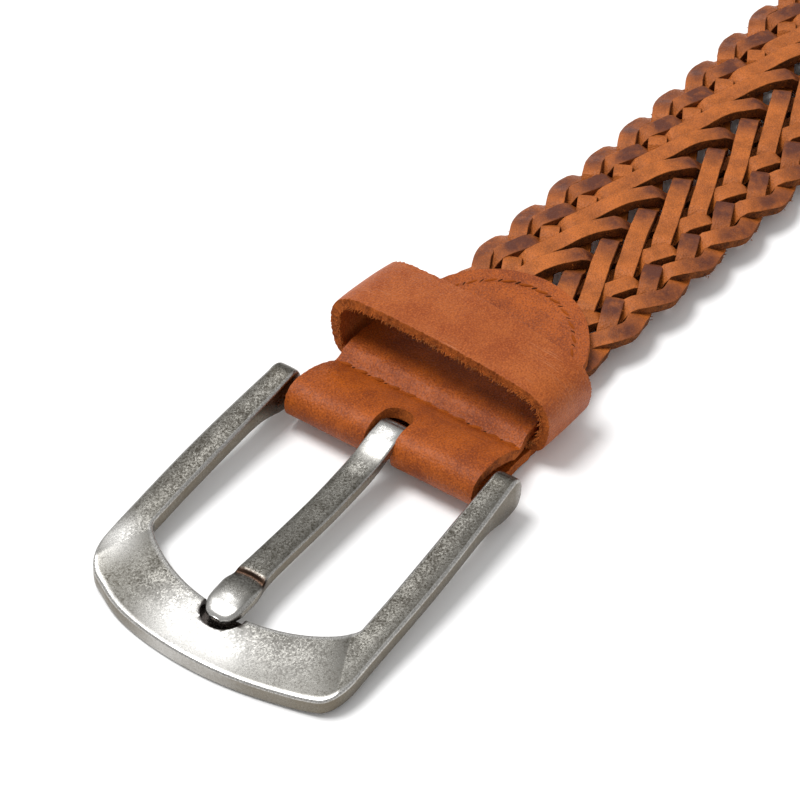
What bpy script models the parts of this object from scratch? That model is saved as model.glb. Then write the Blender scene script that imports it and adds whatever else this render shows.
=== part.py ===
"""Braided leather belt with a prong buckle, laid out flat on its back.

The belt runs along +X from the buckle to the tip and rests on Z = 0.
Sizes are in millimetres, and make_object turns them into metres.
A station is the distance behind the buckle's bar, measured along the belt.
"""
import math

import bmesh
import bpy
from mathutils import Matrix

MM = 0.001
OBJECT_NAME = "braided_belt"

# The world origin is the flat underside of the tab, this far behind the bar
ORIGIN_STATION = 22.0

# Gap that neighbouring pieces keep
GAP = 0.3

# Buckle frame
BAR_Z = 5.5
BAR_RADIUS = 1.4
BAR_OVERLAP = 2.0
BAR_SEGMENTS = 20
FRAME_THICK = 3.2
FRAME_BEVEL = 0.55
FRAME_UNDER_BEVEL = 0.4
ARM_TOP_AT_BAR = 8.8
INNER_HALF_AT_BAR = 20.5
INNER_HALF_AT_FRONT = 21.0
OUTER_HALF_AT_BAR = 24.9
OUTER_HALF_MID = 26.2
OUTER_HALF_AT_FRONT = 26.1
FRONT_OUTER_X = -56.6
FRONT_OUTER_RADIUS = 62.0
FRONT_INNER_X = -46.2
FRONT_INNER_RADIUS = 34.0
FRONT_FACET_DROP = 0.45
FRAME_SLOPE = (ARM_TOP_AT_BAR - FRAME_THICK - FRONT_FACET_DROP) / -FRONT_OUTER_X

# Where the corners' curves start and end, and the crossing of their tangents
INNER_CORNER_START_X = -37.0
INNER_CORNER_TANGENT_X = -40.3
INNER_CORNER_END_Y = 17.6
OUTER_CORNER_START_X = -44.5
OUTER_CORNER_TANGENT_X = -51.2
OUTER_CORNER_END_Y = 22.4
CORNER_STEPS = 5
FRONT_STEPS = 5
# The front bar's facet sinks between these two places
FACET_START_X = -38.0
FACET_LENGTH = 10.0

# Lug at each arm's end: how far X is behind the bar, top and underside heights
LUG_END = (
    # x, top_z, under_z
    (3.30, 6.90, 4.30),
    (2.95, 8.15, 3.20),
    (2.00, 8.95, 2.55),
    (0.90, 8.89, 2.25),
)
# Depth of the arm below its top, from the lug forwards
ARM_DEPTH = (
    # x, depth
    (0.0, 6.60),
    (-2.5, 6.05),
    (-5.0, 4.95),
    (-8.0, 3.85),
    (-12.0, 3.35),
    (-20.0, FRAME_THICK),
    (-29.0, FRAME_THICK),
)

NOTCH_RADIUS = 4.0
NOTCH_X = -45.0
NOTCH_Y = -0.6
NOTCH_FLOOR_Z = 3.25
NOTCH_CUT = 10.0
NOTCH_SEGMENTS = 24

# Prong
PRONG_Y = -0.4
HOOK_INNER = BAR_RADIUS + GAP
HOOK_THICK = 1.5
HOOK_WIDTH = 4.6
HOOK_START_DEG = 205.0
HOOK_END_DEG = 450.0
HOOK_STEPS = 14
PRONG_CHAMFER = 0.5
PRONG_BODY = (
    # x, top_z, under_z, width
    (-2.0, 8.50, 6.85, 4.6),
    (-4.5, 7.95, 6.15, 4.7),
    (-7.5, 7.15, 5.25, 4.8),
    (-11.0, 6.55, 4.60, 4.9),
    (-17.0, 6.20, 4.25, 5.0),
    (-26.0, 6.10, 4.15, 5.2),
    (-35.0, 6.20, 4.15, 5.4),
    (-38.0, 6.25, 4.10, 5.7),
    (-39.4, 5.75, 3.90, 6.0),
    (-41.5, 5.70, 3.75, 6.4),
    (-44.5, 5.60, 3.55, 6.6),
    (-46.6, 5.40, 3.55, 6.0),
    (-47.8, 5.05, 3.65, 4.4),
    (-48.3, 4.65, 3.85, 2.6),
)

# Tab leather
TAB_FOLD_THICK = 2.0
FOLD_INNER = BAR_RADIUS + GAP
FOLD_MID = FOLD_INNER + TAB_FOLD_THICK / 2
TAB_HALF = 19.2
TAB_REAR_HALF = 18.4
SLOT_HALF = 3.3
SLOT_END = 6.0
SLOT_END_FLAT = 0.8
# How far before the slot's end the tab has rows
SLOT_ROWS = (2.0, 0.8, 0.0)
SLOT_LEVEL = 0.01
# Share of the half-moon's width that the middle strip takes at most
MIDDLE_SHARE = 0.3
MOON_CENTRE = 28.7
MOON_RADIUS = 17.5
MOON_FLAT = 3.0
MOON_LEAD = 4.0
FOLD_FROM_DEG = 275.0
FOLD_TO_DEG = 85.0
FOLD_STEPS = 10
# Columns across the tab: share of the way from slot to edge, and side
TAB_COLUMNS = (
    # share, side
    (-1.0, -1),
    (-0.66, -1),
    (-0.33, -1),
    (0.0, -1),
    (0.0, 1),
    (0.33, 1),
    (0.66, 1),
    (1.0, 1),
)
# Heights of the two layers' middles behind the fold, and their thickness
TAB_LAYERS = (
    # station, upper_mid_z, lower_mid_z, thick
    (1.6, 8.00, 2.65, 2.0),
    (3.2, 7.70, 2.30, 2.0),
    (6.8, 6.40, 1.75, 1.9),
    (9.0, 5.25, 1.60, 1.9),
    (11.1, 4.30, 1.55, 1.9),
    (12.6, 4.80, 1.25, 1.9),
    (14.2, 5.65, 1.00, 2.0),
    (18.0, 5.75, 1.00, 2.0),
    (24.0, 5.75, 1.00, 2.0),
    (29.5, 5.80, 1.00, 2.0),
    (33.0, 5.90, 1.00, 2.0),
    (37.0, 6.25, 1.00, 2.0),
    (40.5, 6.60, 1.00, 2.0),
    (43.4, 6.90, 1.00, 1.8),
    (45.2, 7.05, 1.00, 1.7),
)

# The very end of the upper layer, against the row before it
TAB_END_RISE = 0.05
TAB_END_THINNING = 0.2

# Keeper: the loop's middle line in the YZ plane, half of it, and its lean
KEEPER_FRONT = 14.5
KEEPER_BACK = 28.3
KEEPER_BACK_DROP = 1.1
KEEPER_THICK = 2.0
KEEPER_LEAN = 0.045
KEEPER_COLUMNS = 4
# Heights between which the lean and the drop at the back come in
KEEPER_LOW = 4.0
KEEPER_HIGH = 16.3
KEEPER_HALF_LOOP = (
    # y, z
    (0.0, 3.30),
    (9.0, 3.30),
    (18.6, 3.30),
    (20.2, 3.85),
    (21.1, 5.10),
    (21.6, 6.90),
    (21.9, 9.50),
    (21.6, 12.00),
    (20.4, 14.00),
    (18.2, 15.20),
    (14.0, 15.75),
    (7.0, 16.15),
    (0.0, 16.30),
)

# Braid
BRAID_HALF = 18.2
BRAID_SCALLOP = 0.7
PITCH = 11.0
FIRST_BUMP = 48.7
SIDE_SHIFT = -1.3
CHEVRON_RELIEF = 0.22
CHEVRON_LAG = 2.0 * math.pi
EDGE_THINNING = 0.18
EDGE_POWER = 4
BRAID_END = 905.0
STEPS_A_PITCH = 2
BRAID_COLUMNS = 7
# Underside height, thickness and width share along the braid's ends
BRAID_HEAD = (
    # station, under_z, thick, width_share
    (31.0, 2.30, 2.0, 0.86),
    (36.5, 2.30, 2.5, 0.94),
    (42.0, 2.30, 3.0, 0.98),
    (47.5, 2.25, 3.7, 1.00),
    (60.0, 1.95, 4.4, 1.00),
    (150.0, 0.00, 4.4, 1.00),
)
BRAID_START = BRAID_HEAD[0][0]
BRAID_TAIL = (
    # distance before the braid's end, under_z, thick, width_share
    (70.0, 0.00, 4.4, 1.00),
    (30.0, 0.80, 3.9, 1.00),
    (16.0, 1.80, 3.0, 1.00),
    (11.0, 1.80, 2.7, 0.98),
    (5.0, 1.80, 2.4, 0.92),
    (0.0, 1.80, 2.0, 0.84),
)

# Belt tip
TIP_OVERLAP = 15.5
TIP_LENGTH = 150.5
TIP_START = BRAID_END - TIP_OVERLAP
TIP_END = TIP_START + TIP_LENGTH
TIP_HALF = 18.4
TIP_THICK = 1.5
TIP_MOON_RADIUS = 17.5
TIP_MOON_LEAD = 4.0
TIP_POINT_LENGTH = 21.0
TIP_POINT_POWER = 2.2
TIP_POINT_FLAT = 0.02
# Where the two layers have rows, behind the tip's start
TIP_LAYER_ROWS = (0.3, 2.0, 4.5, 8.0, 12.0, 15.5, TIP_OVERLAP + GAP)
# Rows behind the braid's end, and how much of the open end's extra height is left
TIP_CLOSING_ROWS = (
    # distance, share_of_rise
    (3.5, 0.9),
    (9.0, 0.5),
    (16.0, 0.0),
    (55.0, 0.0),
)
TIP_POINT_SHARES = (0.0, 0.35, 0.62, 0.82, 0.94, 1.0)
TIP_COLUMN_SHARES = (-1.0, -0.5, 0.0, 0.5, 1.0)

# Way that the belt runs: heading in degrees at a station, straight between rows
HEADING_STEP = 2.0
HEADING = (
    # station, degrees
    (0.0, 0.0),
    (12.0, 0.0),
    (31.0, -5.7),
    (158.0, 0.0),
    (1100.0, 0.0),
)


def blend_table(rows, key, column):
    """Value of one column, straight between the rows, flat outside them."""
    if key <= rows[0][0]:
        return rows[0][column]
    for low, high in zip(rows, rows[1:]):
        if key <= high[0]:
            share = (key - low[0]) / (high[0] - low[0])
            return low[column] + share * (high[column] - low[column])
    return rows[-1][column]


def run_centre(station):
    """Centre point and heading of the belt at a station."""
    if station <= 0.0:
        return station, 0.0, 0.0
    x = 0.0
    y = 0.0
    steps = max(1, int(math.ceil(station / HEADING_STEP)))
    size = station / steps
    for index in range(steps):
        middle = (index + 0.5) * size
        angle = math.radians(blend_table(HEADING, middle, 1))
        x += size * math.cos(angle)
        y += size * math.sin(angle)
    return x, y, math.radians(blend_table(HEADING, station, 1))


def place(station, across, height):
    """Point of the belt: station along it, distance to its left, height."""
    x, y, angle = run_centre(station)
    return (x - math.sin(angle) * across, y + math.cos(angle) * across, height)


def make_object(name, bm, material, collection):
    """Turn the mesh into metres, move it to the world origin and link it."""
    bmesh.ops.transform(
        bm,
        matrix=Matrix.Scale(MM, 4) @ Matrix.Translation((-ORIGIN_STATION, 0.0, 0.0)),
        verts=bm.verts,
    )
    bmesh.ops.recalc_face_normals(bm, faces=bm.faces)
    mesh = bpy.data.meshes.new(name)
    bm.to_mesh(mesh)
    bm.free()
    mesh.materials.append(material)
    result = bpy.data.objects.new(name, mesh)
    collection.objects.link(result)
    return result


def make_material(name, colour, metallic, roughness):
    material = bpy.data.materials.new(name)
    material.use_nodes = True
    shader = material.node_tree.nodes["Principled BSDF"]
    shader.inputs["Base Color"].default_value = (*colour, 1.0)
    shader.inputs["Metallic"].default_value = metallic
    shader.inputs["Roughness"].default_value = roughness
    material.diffuse_color = (*colour, 1.0)
    return material


def slab(front, back, keep, wraps=False):
    """Closed sheet between two grids of points, without the cells left out.

    front and back are rows of points; keep(row, column) says whether the
    cell between that row and the next belongs to the sheet.
    """
    bm = bmesh.new()
    rows = len(front)
    columns = len(front[0])
    used = {}

    def vertex(side, row, column):
        row = row % rows
        key = (side, row, column)
        if key not in used:
            point = front[row][column] if side == 0 else back[row][column]
            used[key] = bm.verts.new(point)
        return used[key]

    last_row = rows if wraps else rows - 1
    cells = {}
    for row in range(last_row):
        for column in range(columns - 1):
            if keep(row, column):
                cells[(row, column)] = True

    def present(row, column):
        if wraps:
            row = row % rows
        return (row, column) in cells

    for row, column in cells:
        ring = ((row, column), (row + 1, column), (row + 1, column + 1), (row, column + 1))
        bm.faces.new([vertex(0, *corner) for corner in ring])
        bm.faces.new([vertex(1, *corner) for corner in reversed(ring)])
        sides = (
            ((row, column - 1), ring[0], ring[1]),
            ((row + 1, column), ring[1], ring[2]),
            ((row, column + 1), ring[2], ring[3]),
            ((row - 1, column), ring[3], ring[0]),
        )
        for neighbour, start, end in sides:
            if not present(*neighbour):
                bm.faces.new((vertex(0, *end), vertex(0, *start), vertex(1, *start), vertex(1, *end)))
    return bm


def swept(sections):
    """Closed body through a row of rings that have the same number of points."""
    bm = bmesh.new()
    rings = [[bm.verts.new(point) for point in section] for section in sections]
    count = len(rings[0])
    for low, high in zip(rings, rings[1:]):
        for index in range(count):
            following = (index + 1) % count
            bm.faces.new((low[index], low[following], high[following], high[index]))
    bm.faces.new(rings[0])
    bm.faces.new(list(reversed(rings[-1])))
    return bm


def cylinder(radius, depth, matrix, segments):
    bm = bmesh.new()
    bmesh.ops.create_cone(
        bm, cap_ends=True, segments=segments, radius1=radius, radius2=radius, depth=depth, matrix=matrix
    )
    return bm


def boolean(target, cutter, operation):
    """Exact boolean that is applied at once; the cutter stays as construction."""
    modifier = target.modifiers.new(operation.lower(), "BOOLEAN")
    modifier.object = cutter
    modifier.operation = operation
    modifier.solver = "EXACT"
    graph = bpy.context.evaluated_depsgraph_get()
    result = bpy.data.meshes.new_from_object(target.evaluated_get(graph))
    old = target.data
    target.modifiers.clear()
    target.data = result
    result.name = target.name
    bpy.data.meshes.remove(old)
    cutter.hide_render = True
    cutter.display_type = "WIRE"


def frame_top(x, outer_share):
    """Height of the frame's top; the front bar's outer edge lies lower."""
    corner_share = min(1.0, max(0.0, (FACET_START_X - x) / FACET_LENGTH))
    return ARM_TOP_AT_BAR + FRAME_SLOPE * x - FRONT_FACET_DROP * corner_share * outer_share


def quadratic(start, control, end, share):
    first = (1 - share) ** 2
    second = 2 * share * (1 - share)
    third = share ** 2
    return tuple(first * a + second * b + third * c for a, b, c in zip(start, control, end))


def front_arc(apex, radius, y):
    return (apex + radius - math.sqrt(radius ** 2 - y ** 2), y)


def frame_outline():
    """Inner and outer plan points, top and depth from an arm's end to the middle."""
    rows = []
    for x, top, under in LUG_END:
        rows.append(((x, INNER_HALF_AT_BAR), (x, OUTER_HALF_AT_BAR), top, top - under))
    arm_front = ARM_DEPTH[-1][0]
    for x, depth in ARM_DEPTH:
        share = x / arm_front
        inner = INNER_HALF_AT_BAR + share * (INNER_HALF_AT_FRONT - INNER_HALF_AT_BAR)
        outer = OUTER_HALF_AT_BAR + (OUTER_HALF_MID - OUTER_HALF_AT_BAR) * math.sin(share * math.pi / 2)
        rows.append(((x, inner), (x, outer), None, depth))
    inner_start = (INNER_CORNER_START_X, INNER_HALF_AT_FRONT)
    inner_tangent = (INNER_CORNER_TANGENT_X, INNER_HALF_AT_FRONT)
    inner_end = front_arc(FRONT_INNER_X, FRONT_INNER_RADIUS, INNER_CORNER_END_Y)
    outer_start = (OUTER_CORNER_START_X, OUTER_HALF_AT_FRONT)
    outer_tangent = (OUTER_CORNER_TANGENT_X, OUTER_HALF_AT_FRONT)
    outer_end = front_arc(FRONT_OUTER_X, FRONT_OUTER_RADIUS, OUTER_CORNER_END_Y)
    for step in range(CORNER_STEPS + 1):
        share = step / CORNER_STEPS
        inner = quadratic(inner_start, inner_tangent, inner_end, share)
        outer = quadratic(outer_start, outer_tangent, outer_end, share)
        rows.append((inner, outer, None, FRAME_THICK))
    for step in range(1, FRONT_STEPS + 1):
        share = 1 - step / FRONT_STEPS
        inner = front_arc(FRONT_INNER_X, FRONT_INNER_RADIUS, INNER_CORNER_END_Y * share)
        outer = front_arc(FRONT_OUTER_X, FRONT_OUTER_RADIUS, OUTER_CORNER_END_Y * share)
        rows.append((inner, outer, None, FRAME_THICK))
    return rows


def frame_section(row, side):
    (inner_x, inner_y), (outer_x, outer_y), top, depth = row
    inner_top = top if top is not None else frame_top(inner_x, 0.0)
    outer_top = top if top is not None else frame_top(outer_x, 1.0)
    length = math.hypot(outer_x - inner_x, outer_y - inner_y)
    along = ((outer_x - inner_x) / length, (outer_y - inner_y) / length)

    def point(distance, height):
        return (inner_x + along[0] * distance, side * (inner_y + along[1] * distance), height)

    bevel = min(FRAME_BEVEL, depth / 4)
    under = min(FRAME_UNDER_BEVEL, depth / 4)
    return (
        point(0.0, inner_top - bevel),
        point(bevel, inner_top),
        point(length - bevel, outer_top),
        point(length, outer_top - bevel),
        point(length, outer_top - depth + under),
        point(length - under, outer_top - depth),
        point(under, inner_top - depth),
        point(0.0, inner_top - depth + under),
    )


def build_frame(material, collection, cutters):
    outline = frame_outline()
    left = [frame_section(row, 1) for row in outline]
    right = [frame_section(row, -1) for row in reversed(outline[:-1])]
    frame = make_object("buckle_frame", swept(left + right), material, collection)
    across = Matrix.Translation((0.0, 0.0, BAR_Z)) @ Matrix.Rotation(math.pi / 2, 4, "X")
    bar = cylinder(BAR_RADIUS, 2 * INNER_HALF_AT_BAR + BAR_OVERLAP, across, BAR_SEGMENTS)
    boolean(frame, make_object("cutter_bar", bar, material, cutters), "UNION")
    upright = Matrix.Translation((NOTCH_X, NOTCH_Y, NOTCH_FLOOR_Z + NOTCH_CUT / 2))
    notch = cylinder(NOTCH_RADIUS, NOTCH_CUT, upright, NOTCH_SEGMENTS)
    boolean(frame, make_object("cutter_notch", notch, material, cutters), "DIFFERENCE")
    return frame


def prong_section(centre, normal, thick, width):
    """Chamfered rectangle: width along Y, thickness along the normal in XZ."""
    half_w = width / 2
    half_t = thick / 2
    cut = min(PRONG_CHAMFER, half_t * 0.6, half_w * 0.6)
    corners = (
        (-half_w, half_t - cut),
        (-half_w + cut, half_t),
        (half_w - cut, half_t),
        (half_w, half_t - cut),
        (half_w, -half_t + cut),
        (half_w - cut, -half_t),
        (-half_w + cut, -half_t),
        (-half_w, -half_t + cut),
    )
    return [(centre[0] + normal[0] * t, PRONG_Y + w, centre[1] + normal[1] * t) for w, t in corners]


def build_prong(material, collection):
    sections = []
    radius = HOOK_INNER + HOOK_THICK / 2
    for step in range(HOOK_STEPS + 1):
        angle = math.radians(HOOK_START_DEG + (HOOK_END_DEG - HOOK_START_DEG) * step / HOOK_STEPS)
        normal = (math.cos(angle), math.sin(angle))
        centre = (radius * normal[0], BAR_Z + radius * normal[1])
        sections.append(prong_section(centre, normal, HOOK_THICK, HOOK_WIDTH))
    for x, top, under, width in PRONG_BODY:
        sections.append(prong_section((x, (top + under) / 2), (0.0, 1.0), top - under, width))
    return make_object("prong", swept(sections), material, collection)


def tab_half_width(station):
    """Half width of the tab: nearly straight, then the half-moon."""
    share = min(1.0, max(0.0, station / MOON_CENTRE))
    straight = TAB_HALF + share * (TAB_REAR_HALF - TAB_HALF)
    if station <= MOON_CENTRE:
        return straight
    reach = min(station - MOON_CENTRE, MOON_RADIUS)
    round_half = math.sqrt(max(0.0, MOON_RADIUS ** 2 - reach ** 2))
    lead = min(1.0, reach / MOON_LEAD)
    return straight + (round_half - straight) * lead


def slot_columns(station, edge):
    """Where the middle strip's edges are: the slot's rounded sides, then plain."""
    if station <= SLOT_END:
        to_end = SLOT_END - station
        if to_end < SLOT_HALF:
            return max(SLOT_END_FLAT, math.sqrt(SLOT_HALF ** 2 - (SLOT_HALF - to_end) ** 2))
        return SLOT_HALF
    return min(SLOT_HALF, SLOT_END_FLAT + (station - SLOT_END), MIDDLE_SHARE * edge)


def tab_path():
    """Rows of the leather from the lower end, round the fold, to the upper end.

    Each row: station, height, normal in XZ that points outwards, thickness.
    """
    last = TAB_LAYERS[-1]
    end = MOON_CENTRE + math.sqrt(MOON_RADIUS ** 2 - MOON_FLAT ** 2)
    rows = list(TAB_LAYERS) + [(end, last[1] + TAB_END_RISE, last[2], last[3] - TAB_END_THINNING)]
    for before_end in SLOT_ROWS:
        station = SLOT_END - before_end
        rows.append((station, *(blend_table(TAB_LAYERS, station, column) for column in (1, 2, 3))))
    rows.sort()
    upper = []
    lower = []
    for index, (station, upper_z, lower_z, thick) in enumerate(rows):
        before = rows[max(0, index - 1)]
        after = rows[min(len(rows) - 1, index + 1)]
        run = after[0] - before[0]
        tilt_up = math.atan2(after[1] - before[1], run)
        tilt_low = math.atan2(after[2] - before[2], run)
        upper.append((station, upper_z, (-math.sin(tilt_up), math.cos(tilt_up)), thick))
        lower.append((station, lower_z, (math.sin(tilt_low), -math.cos(tilt_low)), thick))
    fold = []
    for step in range(FOLD_STEPS + 1):
        angle = math.radians(FOLD_FROM_DEG + (FOLD_TO_DEG - FOLD_FROM_DEG) * step / FOLD_STEPS)
        normal = (math.cos(angle), math.sin(angle))
        fold.append((FOLD_MID * normal[0], BAR_Z + FOLD_MID * normal[1], normal, TAB_FOLD_THICK))
    return list(reversed(lower)) + fold + upper


def build_tab(material, collection):
    path = tab_path()
    outer = []
    inner = []
    for station, height, normal, thick in path:
        edge = tab_half_width(station)
        slot = slot_columns(station, edge)
        across = [slot * side + (edge - slot) * share for share, side in TAB_COLUMNS]
        front_row = []
        back_row = []
        for y in across:
            for row, side in ((front_row, 0.5), (back_row, -0.5)):
                shift = side * thick
                row.append(place(station + normal[0] * shift, y, height + normal[1] * shift))
        outer.append(front_row)
        inner.append(back_row)

    def keep(row, column):
        in_slot = min(path[row][0], path[row + 1][0]) < SLOT_END - SLOT_LEVEL
        return not (column == 3 and in_slot)

    return make_object("buckle_tab", slab(outer, inner, keep), material, collection)


def loop_normals(points):
    normals = []
    count = len(points)
    for index in range(count):
        before = points[index - 1]
        after = points[(index + 1) % count]
        run = (after[0] - before[0], after[1] - before[1])
        length = math.hypot(*run)
        normals.append((run[1] / length, -run[0] / length))
    return normals


def build_keeper(material, collection):
    half = list(KEEPER_HALF_LOOP)
    loop = half + [(-y, z) for y, z in reversed(half[1:-1])]
    normals = loop_normals(loop)
    outer = []
    inner = []
    for (y, z), (normal_y, normal_z) in zip(loop, normals):
        rise = max(0.0, z - KEEPER_LOW) / (KEEPER_HIGH - KEEPER_LOW)
        lean = 1.0 + KEEPER_LEAN * y / KEEPER_HIGH * rise
        rows = ([], [])
        for column in range(KEEPER_COLUMNS):
            share = column / (KEEPER_COLUMNS - 1)
            station = KEEPER_FRONT + share * (KEEPER_BACK - KEEPER_FRONT)
            drop = KEEPER_BACK_DROP * share * rise
            for row, side in zip(rows, (0.5, -0.5)):
                shift = side * KEEPER_THICK
                row.append(place(station, y + normal_y * shift, z * lean - drop + normal_z * shift))
        outer.append(rows[0])
        inner.append(rows[1])
    sheet = slab(outer, inner, lambda row, column: True, wraps=True)
    return make_object("keeper", sheet, material, collection)


def braid_profile(station):
    """Underside height, thickness and width share of the braid."""
    if station < BRAID_END - BRAID_TAIL[0][0]:
        return [blend_table(BRAID_HEAD, station, column) for column in (1, 2, 3)]
    rows = [(BRAID_END - row[0], *row[1:]) for row in BRAID_TAIL]
    return [blend_table(rows, station, column) for column in (1, 2, 3)]


def build_braid(material, collection):
    steps = int(round((BRAID_END - BRAID_START) / PITCH * STEPS_A_PITCH))
    top = []
    under = []
    for step in range(steps + 1):
        station = BRAID_START + (BRAID_END - BRAID_START) * step / steps
        low, thick, share = braid_profile(station)
        top_row = []
        under_row = []
        for column in range(BRAID_COLUMNS):
            across_share = 2 * column / (BRAID_COLUMNS - 1) - 1
            side_shift = SIDE_SHIFT if across_share < 0 else 0.0
            phase = 2 * math.pi * (station - FIRST_BUMP - side_shift) / PITCH
            half = share * (BRAID_HALF - BRAID_SCALLOP / 2 + BRAID_SCALLOP / 2 * math.cos(phase))
            edge_share = abs(across_share) ** EDGE_POWER
            chevron = math.cos(phase + CHEVRON_LAG * abs(across_share))
            relief = CHEVRON_RELIEF * chevron * (1 - edge_share)
            edge_thin = EDGE_THINNING * edge_share * thick
            y = across_share * half
            top_row.append(place(station, y, low + thick - edge_thin - CHEVRON_RELIEF + relief))
            under_row.append(place(station, y, low + edge_thin))
        top.append(top_row)
        under.append(under_row)
    sheet = slab(top, under, lambda row, column: True)
    return make_object("braid_band", sheet, material, collection)


def tip_half_width(station):
    """Half width of the tip: half-moon where it meets the braid, pointed end."""
    from_start = station - TIP_START
    if from_start < TIP_MOON_RADIUS:
        reach = TIP_MOON_RADIUS - from_start
        moon = math.sqrt(max(MOON_FLAT ** 2, TIP_MOON_RADIUS ** 2 - reach ** 2))
        return moon + (TIP_HALF - moon) * max(0.0, 1 - reach / TIP_MOON_LEAD)
    to_end = TIP_END - station
    if to_end < TIP_POINT_LENGTH:
        share = 1 - to_end / TIP_POINT_LENGTH
        return TIP_HALF * math.sqrt(max(TIP_POINT_FLAT, 1 - share ** TIP_POINT_POWER))
    return TIP_HALF


def build_tip(material, collection):
    """Two layers that hold the braid's end and close to one flat strap."""
    stations = [TIP_START + row for row in TIP_LAYER_ROWS]
    upper = []
    lower = []
    for station in stations:
        low, thick, _ = braid_profile(station)
        inner_top = low + thick + GAP
        upper.append((station, inner_top + TIP_THICK / 2))
        lower.append((station, TIP_THICK / 2))
    bm = bmesh.new()
    shares = TIP_COLUMN_SHARES

    def ring_row(station, height):
        half = tip_half_width(station)
        return [bm.verts.new(place(station, share * half, height)) for share in shares]

    thick_flat = 2 * TIP_THICK
    outer_top = [ring_row(station, mid + TIP_THICK / 2) for station, mid in upper]
    inner_top = [ring_row(station, mid - TIP_THICK / 2) for station, mid in upper]
    inner_low = [ring_row(station, mid + TIP_THICK / 2) for station, mid in lower]
    outer_low = [ring_row(station, mid - TIP_THICK / 2) for station, mid in lower]
    end_top = upper[-1][1] + TIP_THICK / 2
    solid_rows = []
    for distance, share in TIP_CLOSING_ROWS:
        solid_rows.append((BRAID_END + distance, thick_flat + share * (end_top - thick_flat)))
    for share in TIP_POINT_SHARES:
        solid_rows.append((TIP_END - TIP_POINT_LENGTH * (1 - share), thick_flat))
    solid_top = [ring_row(station, height) for station, height in solid_rows]
    solid_low = [ring_row(station, 0.0) for station, _ in solid_rows]

    def skin(rows):
        for low, high in zip(rows, rows[1:]):
            for index in range(len(shares) - 1):
                bm.faces.new((low[index], low[index + 1], high[index + 1], high[index]))

    def rim(first, second):
        for index in range(len(shares) - 1):
            bm.faces.new((first[index], first[index + 1], second[index + 1], second[index]))

    def side(tops, lows, index):
        for place_now in range(len(tops) - 1):
            bm.faces.new(
                (tops[place_now][index], tops[place_now + 1][index],
                 lows[place_now + 1][index], lows[place_now][index])
            )

    skin(outer_top + solid_top)
    skin(outer_low + solid_low)
    skin(inner_top)
    skin(inner_low)
    rim(outer_top[0], inner_top[0])
    rim(inner_low[0], outer_low[0])
    rim(inner_top[-1], inner_low[-1])
    rim(solid_top[-1], solid_low[-1])
    for index in (0, len(shares) - 1):
        side(outer_top, inner_top, index)
        side(inner_low, outer_low, index)
        side(solid_top, solid_low, index)
        closing = (
            outer_top[-1][index], solid_top[0][index], solid_low[0][index],
            outer_low[-1][index], inner_low[-1][index], inner_top[-1][index],
        )
        bm.faces.new(closing)
    return make_object("belt_tip", bm, material, collection)


def main():
    for item in list(bpy.data.objects):
        bpy.data.objects.remove(item, do_unlink=True)
    collection = bpy.data.collections.new(OBJECT_NAME)
    cutters = bpy.data.collections.new("cutters")
    bpy.context.scene.collection.children.link(collection)
    bpy.context.scene.collection.children.link(cutters)

    nickel = make_material("antique_nickel_frame", (0.46, 0.45, 0.43), 1.0, 0.36)
    nickel_prong = make_material("antique_nickel_prong", (0.50, 0.49, 0.47), 1.0, 0.34)
    tab_leather = make_material("cognac_tab_leather", (0.42, 0.15, 0.065), 0.0, 0.55)
    keeper_leather = make_material("cognac_keeper_leather", (0.45, 0.17, 0.075), 0.0, 0.55)
    braid_leather = make_material("tan_braid_leather", (0.50, 0.19, 0.06), 0.0, 0.6)
    tip_leather = make_material("cognac_tip_leather", (0.42, 0.15, 0.065), 0.0, 0.55)

    build_frame(nickel, collection, cutters)
    build_prong(nickel_prong, collection)
    build_tab(tab_leather, collection)
    build_keeper(keeper_leather, collection)
    build_braid(braid_leather, collection)
    build_tip(tip_leather, collection)


main()
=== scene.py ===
"""Looks of a braided leather belt with a prong buckle, laid out flat.

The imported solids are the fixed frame, and each operator builds one piece or
one group of like pieces where a solid lies. Tables are in millimetres, and a
station is the distance behind the buckle's bar, measured along the belt.
"""

import math
import random

import bmesh
import bpy
from bpy.props import FloatProperty, FloatVectorProperty, PointerProperty
from mathutils import Matrix, Vector, noise


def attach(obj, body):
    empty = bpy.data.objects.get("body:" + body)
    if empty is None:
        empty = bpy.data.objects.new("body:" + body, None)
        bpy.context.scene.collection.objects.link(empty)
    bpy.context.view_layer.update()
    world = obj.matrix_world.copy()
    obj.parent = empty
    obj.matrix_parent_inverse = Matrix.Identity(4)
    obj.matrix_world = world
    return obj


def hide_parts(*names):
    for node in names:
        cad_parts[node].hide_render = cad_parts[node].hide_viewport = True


bl_info = {
    "name": "Braided belt looks",
    "version": (1, 0, 0),
    "blender": (4, 5, 0),
    "location": "View3D > Sidebar > Braided belt",
    "description": "Builds the leather, braid, stitches and antique nickel of a braided belt",
    "category": "Object",
}

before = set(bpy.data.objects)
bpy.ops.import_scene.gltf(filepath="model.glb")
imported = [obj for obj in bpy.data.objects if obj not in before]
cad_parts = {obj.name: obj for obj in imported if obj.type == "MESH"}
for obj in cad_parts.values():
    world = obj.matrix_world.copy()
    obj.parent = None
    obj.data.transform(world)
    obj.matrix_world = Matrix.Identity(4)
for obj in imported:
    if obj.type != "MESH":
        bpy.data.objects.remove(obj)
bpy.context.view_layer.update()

MM = 0.001
ORIGIN_STATION = 22.0

# Way that the belt runs
HEADING = (
    # station, degrees
    (0.0, 0.0),
    (12.0, 0.0),
    (31.0, -5.7),
    (158.0, 0.0),
    (1100.0, 0.0),
)
RUN_LENGTH = 1120

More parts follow.
